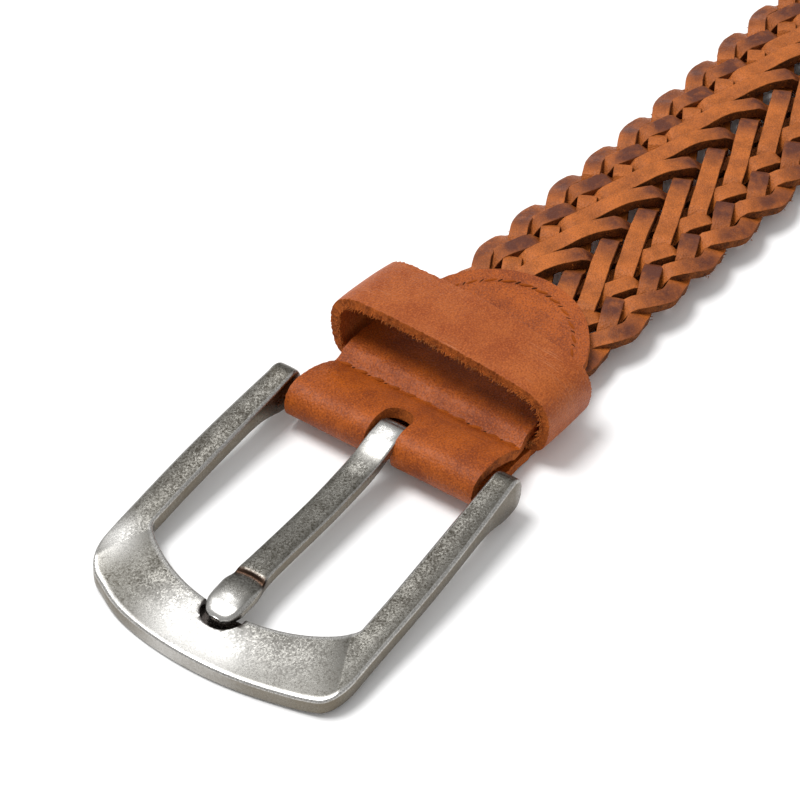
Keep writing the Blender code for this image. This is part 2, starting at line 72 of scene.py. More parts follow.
# Buckle frame
BAR_Z = 5.5
BAR_RADIUS = 1.4
FRAME_THICK = 3.2
ARM_TOP_AT_BAR = 8.8
INNER_HALF_AT_BAR = 20.5
INNER_HALF_AT_FRONT = 21.0
OUTER_HALF_AT_BAR = 24.9
OUTER_HALF_MID = 26.2
OUTER_HALF_AT_FRONT = 26.1
FRONT_OUTER_X = -56.6
FRONT_OUTER_RADIUS = 62.0
FRONT_INNER_X = -45.5
FRONT_INNER_RADIUS = 34.0
FACET_DROP = 1.05
FACET_SOFTNESS = 5.0
FACET_CREASE_X = -40.6
FRAME_SLOPE = (ARM_TOP_AT_BAR - FRAME_THICK - 0.45) / 56.6
INNER_CORNER = (-37.0, -38.6, 17.6)
OUTER_CORNER = (-44.5, -51.2, 22.4)
ARM_DEPTH = (
    # distance before the bar, depth
    (0.0, 6.60),
    (2.5, 6.05),
    (5.0, 4.95),
    (8.0, 3.85),
    (12.0, 3.35),
    (20.0, 3.20),
    (37.0, 3.20),
)
NOTCH_RADIUS = 4.1
NOTCH_PLACE = (-45.7, 0.1)
NOTCH_FLOOR_Z = 2.3
NOTCH_BEVEL = 0.4
LUG_X = 0.6
LUG_Z = 5.6
LUG_REACH = 2.75
LUG_RISE = 3.35
LUG_ROWS = 9
ARM_ROWS = 30
ARM_SWELL_LENGTH = 29.0
CORNER_ROWS = 26
FRONT_ROWS = 20
# Bright spots, partly rubbed by hands and partly painted highlight where the metal mirrors the light, and
# painted shade on the arms
# Painted shade that darkens the arms.
ARM_PAINTED_SHADE = 0.14
WEAR_AND_HIGHLIGHT_SPOTS = (
    # x, y, reach, amount
    (-51.5, 4.0, 6.5, 1.1),
    (-52.5, -4.5, 4.5, 0.7),
    (-43.5, 24.8, 4.0, 0.9),
    (-50.0, -14.0, 9.0, 0.22),
    (-2.5, -0.4, 4.0, 1.0),
    (-45.6, -0.1, 1.8, 1.0),
)

# Prong
PRONG_Y = -0.4
HOOK_INNER = 1.7
HOOK_THICK = 1.5
HOOK_WIDTH = 5.2
HOOK_STEPS = 26
BODY_STEPS = 110
PRONG_BODY = (
    # distance before the bar, top_z, under_z, width
    (0.0, 8.68, 7.20, 5.2),
    (2.0, 8.50, 6.85, 5.2),
    (4.5, 7.85, 6.05, 5.3),
    (7.5, 7.10, 5.15, 5.3),
    (11.0, 6.70, 4.65, 5.3),
    (17.0, 6.45, 4.30, 5.2),
    (26.0, 6.30, 4.15, 5.2),
    (35.0, 6.30, 4.15, 5.3),
    (37.6, 6.25, 4.10, 5.5),
    (38.5, 6.00, 4.05, 5.7),
    (39.2, 5.60, 4.00, 5.9),
    (39.9, 5.55, 3.95, 6.2),
    (40.6, 5.75, 3.90, 6.5),
    (41.8, 5.90, 3.80, 6.9),
    (43.5, 5.85, 3.70, 7.0),
    (45.5, 5.65, 3.60, 6.8),
    (46.9, 5.25, 3.60, 5.8),
    (47.9, 4.80, 3.65, 4.3),
    (48.4, 4.40, 3.85, 2.4),
)

# Tab
FOLD_MID = 2.7
TAB_HALF = 19.2
TAB_REAR_HALF = 18.4
TAB_THICK = 2.0
SLOT_HALF = 2.8
SLOT_END = 5.0
SLOT_END_FLAT = 0.5
MOON_CENTRE = 28.7
MOON_RADIUS = 17.5
MOON_LEAD = 4.0
CREASE_STATION = 11.1
SIDE_CELLS = 22
MIDDLE_CELLS = 4
TAB_LAYERS = (
    # station, upper_mid_z, lower_mid_z
    (0.3, 8.19, 2.81),
    (1.6, 8.00, 2.65),
    (3.2, 7.70, 2.30),
    (6.8, 6.40, 1.75),
    (9.0, 5.25, 1.60),
    (11.1, 4.30, 1.55),
    (12.6, 4.80, 1.25),
    (14.2, 5.65, 1.00),
    (18.0, 5.75, 1.00),
    (24.0, 5.75, 1.00),
    (29.5, 5.80, 1.00),
    (33.0, 5.90, 1.00),
    (37.0, 6.25, 1.00),
    (40.5, 6.60, 1.00),
    (43.4, 6.90, 1.00),
    (45.2, 7.05, 1.00),
    (46.2, 7.10, 1.00),
)

# Keeper
KEEPER_FRONT = 14.5
KEEPER_BACK = 28.3
KEEPER_BACK_DROP = 1.1
KEEPER_LEFT_DROP = 1.6
KEEPER_THICK = 2.0
KEEPER_LEAN = 0.045
KEEPER_EDGE_FIBRES = 560
KEEPER_LOW = 4.0
KEEPER_HIGH = 16.3
KEEPER_HALF_LOOP = (
    # y, z
    (0.0, 3.30),
    (9.0, 3.30),
    (18.6, 3.30),
    (20.2, 3.85),
    (21.1, 5.10),
    (21.6, 6.90),
    (21.9, 9.50),
    (21.6, 12.00),
    (20.4, 14.00),
    (18.2, 15.20),
    (14.0, 15.75),
    (7.0, 16.15),
    (0.0, 16.30),
)

# Braid
PITCH = 11.0
STRANDS = 13
CROSSINGS = STRANDS - 1
FULL_RUN = PITCH * STRANDS
FIRST_LEFT_TURN = 48.7
BRAID_START = 34.5
BRAID_END = 902.0
STRAND_ROW = 0.8
STRAND_COVER = 1.75
CENTRE_DIVE = 6
EDGE_TURN_FROM = 11.0
EDGE_TURN_LENGTH = 5.0
STRAND_TILT = 0.26
FIBRES_A_STRAND = 420
# Way of a strand from the belt's left edge to its right edge, and back
RIGHT_WAY = (
    # run since the turn, across
    (0.0, 15.9),
    (2.5, 15.5),
    (5.5, 14.6),
    (13.0, 12.0),
    (23.0, 8.8),
    (30.0, 6.6),
    (36.0, 4.4),
    (40.0, 2.2),
    (44.0, -0.4),
    (50.0, -3.3),
    (60.0, -8.2),
    (70.0, -13.2),
    (73.6, -15.2),
    (76.4, -15.9),
)
LEFT_WAY = (
    # run since the turn, across
    (0.0, -15.9),
    (2.5, -15.4),
    (5.5, -14.3),
    (11.0, -11.7),
    (18.5, -8.2),
    (30.0, -3.2),
    (40.0, 1.4),
    (48.0, 6.0),
    (56.0, 10.8),
    (61.0, 13.7),
    (64.2, 15.3),
    (66.6, 15.9),
)
# Height steps of a strand from one turn over its crossings to the next turn
STRAND_STEPS = (0.35, -1.0, 1.0, -1.0, 1.0, 1.45, 1.15, -1.0, -1.2, -1.0, 1.0, -1.0, 1.0, 0.35)
# Where a strand's crest is burnished before it dives, and how much
CRESTS = (
    # crossing, amount
    (0.1, 1.1),
    (2.2, 1.7),
    (4.3, 0.35),
    (6.2, 1.25),
    (10.25, 0.3),
    (12.35, 0.8),
    (13.1, 1.1),
)
BRAID_PROFILE = (
    # station, under_z, thick, width_share
    (31.0, 2.30, 2.0, 0.86),
    (36.5, 2.30, 2.5, 0.94),
    (42.0, 2.30, 3.1, 0.98),
    (47.5, 2.25, 3.8, 1.00),
    (60.0, 1.95, 4.4, 1.00),
    (150.0, 0.00, 4.4, 1.00),
    (835.0, 0.00, 4.4, 1.00),
    (875.0, 0.80, 3.9, 1.00),
    (889.0, 1.80, 3.0, 1.00),
    (900.0, 1.80, 2.4, 0.92),
    (905.0, 1.80, 2.0, 0.84),
)

# Belt tip
TIP_START = 889.5
TIP_END = 1040.0
TIP_HALF = 18.4
TIP_THICK = 1.5
TIP_POINT_LENGTH = 21.0
TIP_MOON_RADIUS = 17.5
TIP_MOON_LEAD = 4.0
TIP_UPPER = (
    # station, upper_mid_z
    (889.5, 5.80),
    (894.0, 5.30),
    (900.0, 5.05),
    (906.0, 4.80),
    (912.0, 3.60),
    (921.0, 2.30),
    (1040.0, 2.25),
)

# Stitches
STITCH_INSET = 2.8
CREASE_ROW_HALF = 17.0
MOON_SWEEP = math.radians(150)
UP = Vector((0.0, 0.0, 1.0))


def clamp(value):
    return min(1.0, max(0.0, value))


def eased(first, last, start, end, share):
    """Cubic from first to last that leaves and arrives with the given slopes."""
    square = share * share
    cube = square * share
    return (first * (2 * cube - 3 * square + 1) + start * (cube - 2 * square + share)
            + last * (3 * square - 2 * cube) + end * (cube - square))


def smooth_value(rows, key, column):
    """Value of one column on a smooth curve through the rows, flat outside them."""
    if key <= rows[0][0]:
        return rows[0][column]
    if key >= rows[-1][0]:
        return rows[-1][column]
    index = 0
    while key > rows[index + 1][0]:
        index += 1

    def slope(place):
        if place < 0 or place + 1 >= len(rows):
            return 0.0
        low = rows[place]
        high = rows[place + 1]
        return (high[column] - low[column]) / (high[0] - low[0])

    def tangent(before, after):
        if before * after <= 0.0:
            return 0.0
        return 2.0 * before * after / (before + after)

    low = rows[index]
    high = rows[index + 1]
    size = high[0] - low[0]
    start = tangent(slope(index - 1), slope(index)) * size
    end = tangent(slope(index), slope(index + 1)) * size
    return eased(low[column], high[column], start, end, (key - low[0]) / size)


def straight_value(rows, key, column):
    """Value of one column, straight between the rows."""
    for low, high in zip(rows, rows[1:]):
        if key <= high[0]:
            share = max(0.0, (key - low[0]) / (high[0] - low[0]))
            return low[column] + share * (high[column] - low[column])
    return rows[-1][column]


def measured_run():
    """Centre and heading of the belt at every millimetre behind the bar."""
    points = []
    x = 0.0
    y = 0.0
    for station in range(RUN_LENGTH):
        points.append((x, y, math.radians(straight_value(HEADING, float(station), 1))))
        angle = math.radians(straight_value(HEADING, station + 0.5, 1))
        x += math.cos(angle)
        y += math.sin(angle)
    return points


RUN = measured_run()


def place(station, across, height):
    """World point in metres of a station, a distance to the belt's left and a height."""
    if station <= 0.0:
        return Vector(((station - ORIGIN_STATION) * MM, across * MM, height * MM))
    index = min(int(station), RUN_LENGTH - 2)
    share = station - index
    x, y, angle = (a + share * (b - a) for a, b in zip(RUN[index], RUN[index + 1]))
    return Vector((
        (x - math.sin(angle) * across - ORIGIN_STATION) * MM,
        (y + math.cos(angle) * across) * MM,
        height * MM,
    ))


def spot(x, y, z):
    """World point in metres of a place measured from the bar."""
    return Vector(((x - ORIGIN_STATION) * MM, y * MM, z * MM))


def ripple(a, b=0.0, c=0.0):
    """Even noise between about -1 and 1 that is the same in every run."""
    return noise.noise(Vector((a, b, c)))


def flat_grid(columns, rows):
    """Flat grid, and the column and row of each corner in the order of its index."""
    bm = bmesh.new()
    bmesh.ops.create_grid(bm, x_segments=columns, y_segments=rows, size=0.5)
    bm.verts.index_update()
    cells = [(round((vertex.co.x + 0.5) * columns), round((vertex.co.y + 0.5) * rows)) for vertex in bm.verts]
    return bm, cells


def shaped_grid(columns, rows, shape, closed=False):
    """Grid whose corners lie where shape(column, row) says."""
    bm, cells = flat_grid(columns, rows)
    for vertex, (column, row) in zip(bm.verts, cells):
        vertex.co = shape(column, row)
    if closed:
        bmesh.ops.remove_doubles(bm, verts=bm.verts, dist=1e-7)
    bmesh.ops.recalc_face_normals(bm, faces=bm.faces)
    return bm


def key_of(point):
    """Key of a point's mask: its rounded place."""
    return tuple(round(value, 7) for value in point)


def link_new(name, data):
    made = bpy.data.objects.new(name, data)
    bpy.context.scene.collection.objects.link(made)
    return made


def mesh_of(name, bm):
    mesh = bpy.data.meshes.new(name)
    bm.to_mesh(mesh)
    bm.free()
    return mesh


def add_piece(name, bm, materials, body, stands_for=()):
    """Turn the mesh into a finished piece that rides on a body."""
    mesh = mesh_of(name, bm)
    for material in materials:
        mesh.materials.append(material)
    mesh.shade_smooth()
    piece = link_new(name, mesh)
    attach(piece, body)
    if stands_for:
        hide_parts(*stands_for)
    return piece


def give_thickness(piece, thickness, rounding, segments=2, even=True):
    """Leather thickness on both sides of the sheet, a rim of its own and soft edges."""
    wall = piece.modifiers.new("leather wall", "SOLIDIFY")
    wall.thickness = thickness * MM
    wall.offset = 0.0
    wall.use_even_offset = even
    wall.material_offset_rim = 1
    edge = piece.modifiers.new("soft edges", "BEVEL")
    edge.width = rounding * MM
    edge.segments = segments
    edge.limit_method = "ANGLE"
    edge.angle_limit = math.radians(50)
    edge.harden_normals = True


# Node groups and materials


def new_group(name, inputs, outputs):
    """Empty shader group with named sockets, and its input and output nodes."""
    group = bpy.data.node_groups.new(name, "ShaderNodeTree")
    for socket, kind, default in inputs:
        made = group.interface.new_socket(name=socket, in_out="INPUT", socket_type="NodeSocket" + kind)
        if default is not None:
            made.default_value = default
    for socket, kind in outputs:
        group.interface.new_socket(name=socket, in_out="OUTPUT", socket_type="NodeSocket" + kind)
    start = group.nodes.new("NodeGroupInput")
    end = group.nodes.new("NodeGroupOutput")
    return group, start, end


def feed(tree, socket, value):
    """Link a socket to the value if that is a socket too, or set it to the value."""
    if isinstance(value, bpy.types.NodeSocket):
        tree.links.new(value, socket)
    elif isinstance(value, (int, float)):
        socket.default_value = value
    else:
        socket.default_value = (*value, 1.0)


def wire(tree, node, values):
    """Feed several of a node's sockets, by name."""
    for name, value in values.items():
        feed(tree, node.inputs[name], value)


def add_noise(tree, vector, scale, detail=2.0, roughness=0.5, distortion=0.0):
    node = tree.nodes.new("ShaderNodeTexNoise")
    wire(tree, node, {"Vector": vector, "Scale": scale, "Detail": detail, "Roughness": roughness,
                      "Distortion": distortion})
    return node.outputs["Fac"]


def add_cells(tree, vector, scale):
    node = tree.nodes.new("ShaderNodeTexVoronoi")
    wire(tree, node, {"Vector": vector, "Scale": scale})
    return node.outputs["Distance"]


def add_range(tree, value, low, high, to_low=0.0, to_high=1.0):
    node = tree.nodes.new("ShaderNodeMapRange")
    wire(tree, node, {"Value": value, "From Min": low, "From Max": high, "To Min": to_low, "To Max": to_high})
    return node.outputs["Result"]


def add_math(tree, operation, first, second):
    node = tree.nodes.new("ShaderNodeMath")
    node.operation = operation
    feed(tree, node.inputs[0], first)
    feed(tree, node.inputs[1], second)
    return node.outputs["Value"]


def multiply(tree, first, second):
    return add_math(tree, "MULTIPLY", first, second)


def weigh(tree, first, share, second):
    """The first value's share, and the rest from the second value."""
    return add_math(tree, "ADD", multiply(tree, first, share), multiply(tree, second, 1 - share))


def add_mix(tree, share, first, second):
    node = tree.nodes.new("ShaderNodeMix")
    node.data_type = "RGBA"
    feed(tree, node.inputs[0], share)
    feed(tree, node.inputs[6], first)
    feed(tree, node.inputs[7], second)
    return node.outputs[2]


def grain_group():
    """Smooth leather: cloudy colour, fine pores and a satin sheen."""
    inputs = (
        ("Vector", "Vector", None),
        ("Base", "Color", (0.4, 0.15, 0.07, 1.0)),
        ("Dark", "Color", (0.25, 0.08, 0.03, 1.0)),
        ("Light", "Color", (0.6, 0.28, 0.14, 1.0)),
        ("Cloud scale", "Float", 160.0),
        ("Pore scale", "Float", 2200.0),
    )
    outputs = (("Color", "Color"), ("Roughness", "Float"), ("Height", "Float"))
    group, start, end = new_group("leather_grain", inputs, outputs)
    vector = start.outputs["Vector"]
    dark = start.outputs["Dark"]
    clouds = add_noise(group, vector, start.outputs["Cloud scale"], 4.0, 0.6)
    fleck = add_noise(group, vector, start.outputs["Pore scale"], 3.0, 0.65)
    pores = add_cells(group, vector, multiply(group, start.outputs["Pore scale"], 0.55))
    darkened = add_mix(group, add_range(group, clouds, 0.38, 0.64, 0.0, 0.85), start.outputs["Base"], dark)
    speckled = add_mix(group, add_range(group, fleck, 0.5, 0.64, 0.0, 0.6), darkened, start.outputs["Light"])
    pitted = add_mix(group, add_range(group, fleck, 0.47, 0.36, 0.0, 0.85), speckled, dark)
    wire(group, end, {
        "Color": pitted,
        "Roughness": add_range(group, clouds, 0.3, 0.7, 0.42, 0.56),
        "Height": weigh(group, fleck, 0.5, add_range(group, pores, 0.0, 0.6, 1.0, 0.0)),
    })
    return group


def fibre_group():
    """Raw cut leather: short matted fibres, dark between them."""
    inputs = (
        ("Vector", "Vector", None),
        ("Fibre", "Color", (0.45, 0.19, 0.05, 1.0)),
        ("Gap", "Color", (0.12, 0.035, 0.01, 1.0)),
        ("Scale", "Float", 1800.0),
    )
    outputs = (("Color", "Color"), ("Height", "Float"))
    group, start, end = new_group("cut_fibres", inputs, outputs)
    fibres = add_noise(group, start.outputs["Vector"], start.outputs["Scale"], 5.0, 0.75, 1.2)
    clumps = add_noise(group, start.outputs["Vector"], 420.0, 2.0, 0.5)
    height = weigh(group, fibres, 0.7, clumps)
    share = add_range(group, height, 0.4, 0.62)
    wire(group, end, {
        "Color": add_mix(group, share, start.outputs["Gap"], start.outputs["Fibre"]),
        "Height": height,
    })
    return group


def burnish_group():
    """Dark rubbed crests: the mask of the piece, broken up by clouds."""
    inputs = (
        ("Vector", "Vector", None),
        ("Color", "Color", (0.5, 0.2, 0.07, 1.0)),
        ("Burnt", "Color", (0.16, 0.05, 0.035, 1.0)),
        ("Mask", "Float", 0.0),
    )
    group, start, end = new_group("burnished_crests", inputs, (("Color", "Color"),))
    clouds = add_noise(group, start.outputs["Vector"], 420.0, 4.0, 0.62)
    broken = multiply(group, start.outputs["Mask"], add_range(group, clouds, 0.25, 0.6, 0.45, 1.15))
    amount = add_range(group, broken, 0.05, 0.95)
    wire(group, end, {"Color": add_mix(group, amount, start.outputs["Color"], start.outputs["Burnt"])})
    return group


def patina_group():
    """Antique nickel: cloudy dark speckles, brown shade on sides, bright rubbed rims, bright spots of wear
    and painted highlight, and a dark mask of patina, painted shade and painted shadow.
    """
    inputs = (
        ("Vector", "Vector", None),
        ("Bright", "Color", (0.72, 0.71, 0.69, 1.0)),
        ("Dark", "Color", (0.26, 0.25, 0.24, 1.0)),
        ("Shade", "Color", (0.30, 0.26, 0.20, 1.0)),
        ("Polished", "Color", (0.60, 0.59, 0.57, 1.0)),
        # Colour of the dark mask: patina in the prong's groove, painted shade on the arms and painted shadow
        # in the notch.
        ("Grime colour", "Color", (0.02, 0.011, 0.007, 1.0)),
        ("Side", "Float", 0.0),
        ("Rim", "Float", 0.0),
        ("Worn", "Float", 0.0),
        ("Grime", "Float", 0.0),
    )
    outputs = (("Color", "Color"), ("Roughness", "Float"), ("Height", "Float"))
    group, start, end = new_group("nickel_patina", inputs, outputs)
    vector = start.outputs["Vector"]
    clouds = add_noise(group, vector, 300.0, 3.0, 0.6)
    worms = add_noise(group, vector, 2700.0, 3.0, 0.6, 0.6)
    specks = add_noise(group, vector, 4200.0, 2.0, 0.6)
    mottle = weigh(group, worms, 0.72, clouds)
    # Bright spots: partly rubbed by wear, partly painted highlight where the metal mirrors the light.
    polish_and_highlight = multiply(group, start.outputs["Worn"], add_range(group, mottle, 0.45, 0.62, 1.0, 0.75))
    share = add_range(group, mottle, 0.39, 0.61)
    plain = add_mix(group, share, start.outputs["Bright"], start.outputs["Dark"])
    side = multiply(group, start.outputs["Side"], add_range(group, clouds, 0.3, 0.7, 0.75, 1.0))
    shaded = add_mix(group, side, plain, start.outputs["Shade"])
    rim = multiply(group, start.outputs["Rim"], add_range(group, specks, 0.35, 0.6, 0.3, 0.85))
    worn = add_mix(group, add_math(group, "MAXIMUM", rim, polish_and_highlight), shaded, start.outputs["Polished"])
    # Dark mask: patina in the prong's groove, painted shade on the arms, painted shadow in the notch.
    grimed_and_shaded = add_mix(group, start.outputs["Grime"], worn, start.outputs["Grime colour"])
    rough = add_range(group, mottle, 0.41, 0.59, 0.24, 0.38)
    away_from_wear_and_highlight = add_math(group, "SUBTRACT", 1.0, polish_and_highlight)
    wire(group, end, {
        "Color": grimed_and_shaded,
        "Roughness": add_math(group, "SUBTRACT", rough, multiply(group, polish_and_highlight, 0.06)),
        "Height": multiply(group, weigh(group, worms, 0.7, specks), away_from_wear_and_highlight),
    })
    return group


GROUP_MAKERS = {
    "leather_grain": grain_group,
    "cut_fibres": fibre_group,
    "burnished_crests": burnish_group,
    "nickel_patina": patina_group,
}


def place_group(tree, name, **values):
    """Node of a shared group, which is built the first time it is asked for."""
    group = bpy.data.node_groups.get(name) or GROUP_MAKERS[name]()
    node = tree.nodes.new("ShaderNodeGroup")
    node.node_tree = group
    wire(tree, node, {key.replace("_", " "): value for key, value in values.items()})
    return node


def start_material(name):
    material = bpy.data.materials.new(name)
    material.use_nodes = True
    tree = material.node_tree
    shader = tree.nodes["Principled BSDF"]
    coordinates = tree.nodes.new("ShaderNodeTexCoord").outputs["Object"]
    return material, tree, shader, coordinates


def add_bump(tree, shader, height, distance, strength):
    bump = tree.nodes.new("ShaderNodeBump")
    wire(tree, bump, {"Distance": distance * MM, "Strength": strength, "Height": height})
    wire(tree, shader, {"Normal": bump.outputs["Normal"]})


def mask_of(tree, name):
    node = tree.nodes.new("ShaderNodeAttribute")
    node.attribute_name = name
    return node.outputs["Fac"]


def smooth_leather(name, colours, cloud_scale=150.0, pore_scale=3400.0, masked=False):
    """Satin leather; masked pieces carry a burnish mask on their points."""
    material, tree, shader, coordinates = start_material(name)
    base, dark, light, burnt = colours
    grain = place_group(tree, "leather_grain", Vector=coordinates, Base=base, Dark=dark, Light=light,
                        Cloud_scale=cloud_scale, Pore_scale=pore_scale)
    colour = grain.outputs["Color"]
    if masked:
        crest = place_group(tree, "burnished_crests", Vector=coordinates, Color=colour, Burnt=burnt,
                            Mask=mask_of(tree, "burnish"))
        colour = crest.outputs["Color"]
    wire(tree, shader, {
        "Base Color": colour, "Roughness": grain.outputs["Roughness"], "Specular IOR Level": 0.22})
    add_bump(tree, shader, grain.outputs["Height"], 0.16, 0.8)
    return material


def raw_edge(name, fibre, gap, scale=1800.0, depth=0.25):
    material, tree, shader, coordinates = start_material(name)
    fibres = place_group(tree, "cut_fibres", Vector=coordinates, Fibre=fibre, Gap=gap, Scale=scale)
    wire(tree, shader, {
        "Base Color": fibres.outputs["Color"], "Roughness": 0.9, "Specular IOR Level": 0.15})
    add_bump(tree, shader, fibres.outputs["Height"], depth, 0.9)
    return material


# Masks on the nickel: sides, rubbed rims, the dark mask (patina, painted shade and painted shadow) and the
# bright spots (wear and painted highlight).
NICKEL_MASKS = ("side", "rim", "grime", "worn")


def antique_nickel(name, bright, dark, shade):
    material, tree, shader, coordinates = start_material(name)
    masks = {mask.capitalize(): mask_of(tree, mask) for mask in NICKEL_MASKS}
    patina = place_group(tree, "nickel_patina", Vector=coordinates, Bright=bright, Dark=dark, Shade=shade,
                         **masks)
    wire(tree, shader, {
        "Base Color": patina.outputs["Color"], "Roughness": patina.outputs["Roughness"], "Metallic": 1.0})
    add_bump(tree, shader, patina.outputs["Height"], 0.02, 0.45)
    return material


def material_named(name, make, *arguments, **options):
    return bpy.data.materials.get(name) or make(name, *arguments, **options)


# Settings


COLOUR = {"subtype": "COLOR", "size": 3, "min": 0.0, "max": 1.0}
LENGTH = {"subtype": "DISTANCE", "unit": "LENGTH"}


class BuckleSettings(bpy.types.PropertyGroup):
    bright_nickel: FloatVectorProperty(
        name="Bright nickel", description="Colour of the worn nickel",
        default=(0.225, 0.217, 0.196), **COLOUR)
    dark_nickel: FloatVectorProperty(
        name="Dark nickel", description="Colour of the dark speckles",
        default=(0.056, 0.051, 0.041), **COLOUR)
    shaded_nickel: FloatVectorProperty(
        name="Side nickel", description="Brownish colour of the sides",
        default=(0.135, 0.112, 0.078), **COLOUR)
    edge_rounding: FloatProperty(
        name="Edge rounding", description="Radius of the frame's upper edges",
        default=0.55 * MM, min=0.1 * MM, max=1.0 * MM, **LENGTH)


class LeatherSettings(bpy.types.PropertyGroup):
    cognac: FloatVectorProperty(
        name="Cognac", description="Colour of the tab and the tip",
        default=(0.335, 0.073, 0.0065), **COLOUR)
    keeper_tan: FloatVectorProperty(
        name="Keeper tan", description="Colour of the keeper",
        default=(0.335, 0.083, 0.015), **COLOUR)
    dark_cognac: FloatVectorProperty(
        name="Dark cognac", description="Colour of the leather's dark clouds",
        default=(0.165, 0.030, 0.0035), **COLOUR)
    cut_edge: FloatVectorProperty(
        name="Cut edge", description="Colour of the fibres at the cut edges",
        default=(0.50, 0.128, 0.022), **COLOUR)
    stitch_step: FloatProperty(
        name="Stitch step", description="Distance from one stitch to the next",
        default=3.2 * MM, min=1.0 * MM, max=6.0 * MM, **LENGTH)


class BraidSettings(bpy.types.PropertyGroup):
    strand_width: FloatProperty(
        name="Strand width", description="Width of one flat strand",
        default=3.4 * MM, min=2.0 * MM, max=7.0 * MM, **LENGTH)
    strand_thickness: FloatProperty(
        name="Strand thickness", description="Thickness of one flat strand",
        default=2.15 * MM, min=1.0 * MM, max=3.0 * MM, **LENGTH)
    tan: FloatVectorProperty(
        name="Tan", description="Colour of the strands",
        default=(0.44, 0.118, 0.019), **COLOUR)
    burnt: FloatVectorProperty(
        name="Burnished crest", description="Colour of the rubbed crests",
        default=(0.095, 0.025, 0.012), **COLOUR)
    suede: FloatVectorProperty(
        name="Strand side", description="Colour of the strands' raw sides",
        default=(0.25, 0.068, 0.011), **COLOUR)


class StudioSettings(bpy.types.PropertyGroup):
    focal_length: FloatProperty(
        name="Focal length", description="Lens of the camera in millimetres", default=162.0, min=20.0)
    distance: FloatProperty(
        name="Camera distance", description="Distance of the camera from its aim",
        default=0.6206, **LENGTH)
    azimuth: FloatProperty(
        name="Azimuth", description="Side that the camera looks from", subtype="ANGLE",
        default=math.radians(-54.89))
    elevation: FloatProperty(
        name="Elevation", description="Height angle of the camera", subtype="ANGLE",
        default=math.radians(44.24))
    aim: FloatVectorProperty(
        name="Aim", description="Point that the camera looks at", subtype="XYZ", unit="LENGTH",
        size=3, default=(-8.45 * MM, 7.26 * MM, 0.0))
    world_light: FloatProperty(
        name="World light", description="Strength of the even light", default=0.66, min=0.0)
    key_light: FloatProperty(
        name="Key light", description="Power of the soft light in watts", default=14.0, min=0.0)
    back_light: FloatProperty(
        name="Back light", description="Power of the panel that the metal mirrors, in watts",
        default=0.7, min=0.0)


class BeltSettings(bpy.types.PropertyGroup):
    buckle: PointerProperty(type=BuckleSettings, name="Buckle", description="Looks of the buckle")
    leather: PointerProperty(type=LeatherSettings, name="Leather", description="Looks of the leather")
    braid: PointerProperty(type=BraidSettings, name="Braid", description="Sizes and colours of the braid")
    studio: PointerProperty(type=StudioSettings, name="Studio", description="Camera and lights")


def lighter(colour, factor):
    return tuple(min(1.0, value * factor) for value in colour)


def nickel_of(settings, name):
    buckle = settings.buckle
    return material_named(name, antique_nickel, buckle.bright_nickel, buckle.dark_nickel,
                          buckle.shaded_nickel)


def leather_colours(base, dark, burnt=(0.14, 0.045, 0.02)):
    return base, dark, lighter(base, 1.45), burnt


def cognac_leather(settings):
    leather = settings.leather
    colours = leather_colours(leather.cognac, leather.dark_cognac)
    return material_named("cognac_tab_leather", smooth_leather, colours)


def edge_material(settings):
    return material_named("raw_cut_edge", raw_edge, settings.leather.cut_edge, (0.16, 0.036, 0.007))


# Buckle frame


def bezier(start, control, end, share):
    first = (1 - share) ** 2
    second = 2 * share * (1 - share)
    third = share ** 2
    return tuple(first * a + second * b + third * c for a, b, c in zip(start, control, end))


def front_arc(apex, radius, y):
    return (apex + radius - math.sqrt(radius ** 2 - y ** 2), y)


def frame_rows():
    """Inner and outer plan points, top and depth from an arm's end to the front's middle."""
    rows = []
    for step in range(LUG_ROWS):
        angle = math.radians(6 + 84 * step / (LUG_ROWS - 1))
        x = LUG_X + LUG_REACH * math.cos(angle)
        rise = LUG_RISE * math.sin(angle) ** 0.62
        pinch = 0.35 * math.cos(angle) ** 2
        rows.append(((x, INNER_HALF_AT_BAR + pinch), (x, OUTER_HALF_AT_BAR - pinch), LUG_Z + rise, 2 * rise))
    for step in range(1, ARM_ROWS + 1):
        x = LUG_X + step * (INNER_CORNER[0] - LUG_X) / ARM_ROWS
        share = max(0.0, -x / ARM_SWELL_LENGTH)
        inner = INNER_HALF_AT_BAR + min(1.0, share) * (INNER_HALF_AT_FRONT - INNER_HALF_AT_BAR)
        swell = math.sin(min(1.0, share) * math.pi / 2)
        outer = OUTER_HALF_AT_BAR + (OUTER_HALF_MID - OUTER_HALF_AT_BAR) * swell
        outer -= (OUTER_HALF_MID - OUTER_HALF_AT_FRONT) * max(0.0, -ARM_SWELL_LENGTH - x) / 8.0
        lead = (INNER_CORNER[0] - OUTER_CORNER[0]) * max(0.0, share - 0.85) / 0.426
        rows.append(((x, inner), (x - lead, outer), None, smooth_value(ARM_DEPTH, -x, 1)))
    arcs = (
        # corner, half width, front's middle, front's radius
        (INNER_CORNER, INNER_HALF_AT_FRONT, FRONT_INNER_X, FRONT_INNER_RADIUS),
        (OUTER_CORNER, OUTER_HALF_AT_FRONT, FRONT_OUTER_X, FRONT_OUTER_RADIUS),
    )
    for step in range(1, CORNER_ROWS + 1):
        inner, outer = (
            bezier((start_x, half), (control_x, half), front_arc(apex, radius, end_y), step / CORNER_ROWS)
            for (start_x, control_x, end_y), half, apex, radius in arcs)
        rows.append((inner, outer, None, FRAME_THICK))
    for step in range(1, FRONT_ROWS + 1):
        share = 1 - step / FRONT_ROWS
        inner, outer = (front_arc(apex, radius, corner[2] * share) for corner, _, apex, radius in arcs)
        rows.append((inner, outer, None, FRAME_THICK))
    return rows


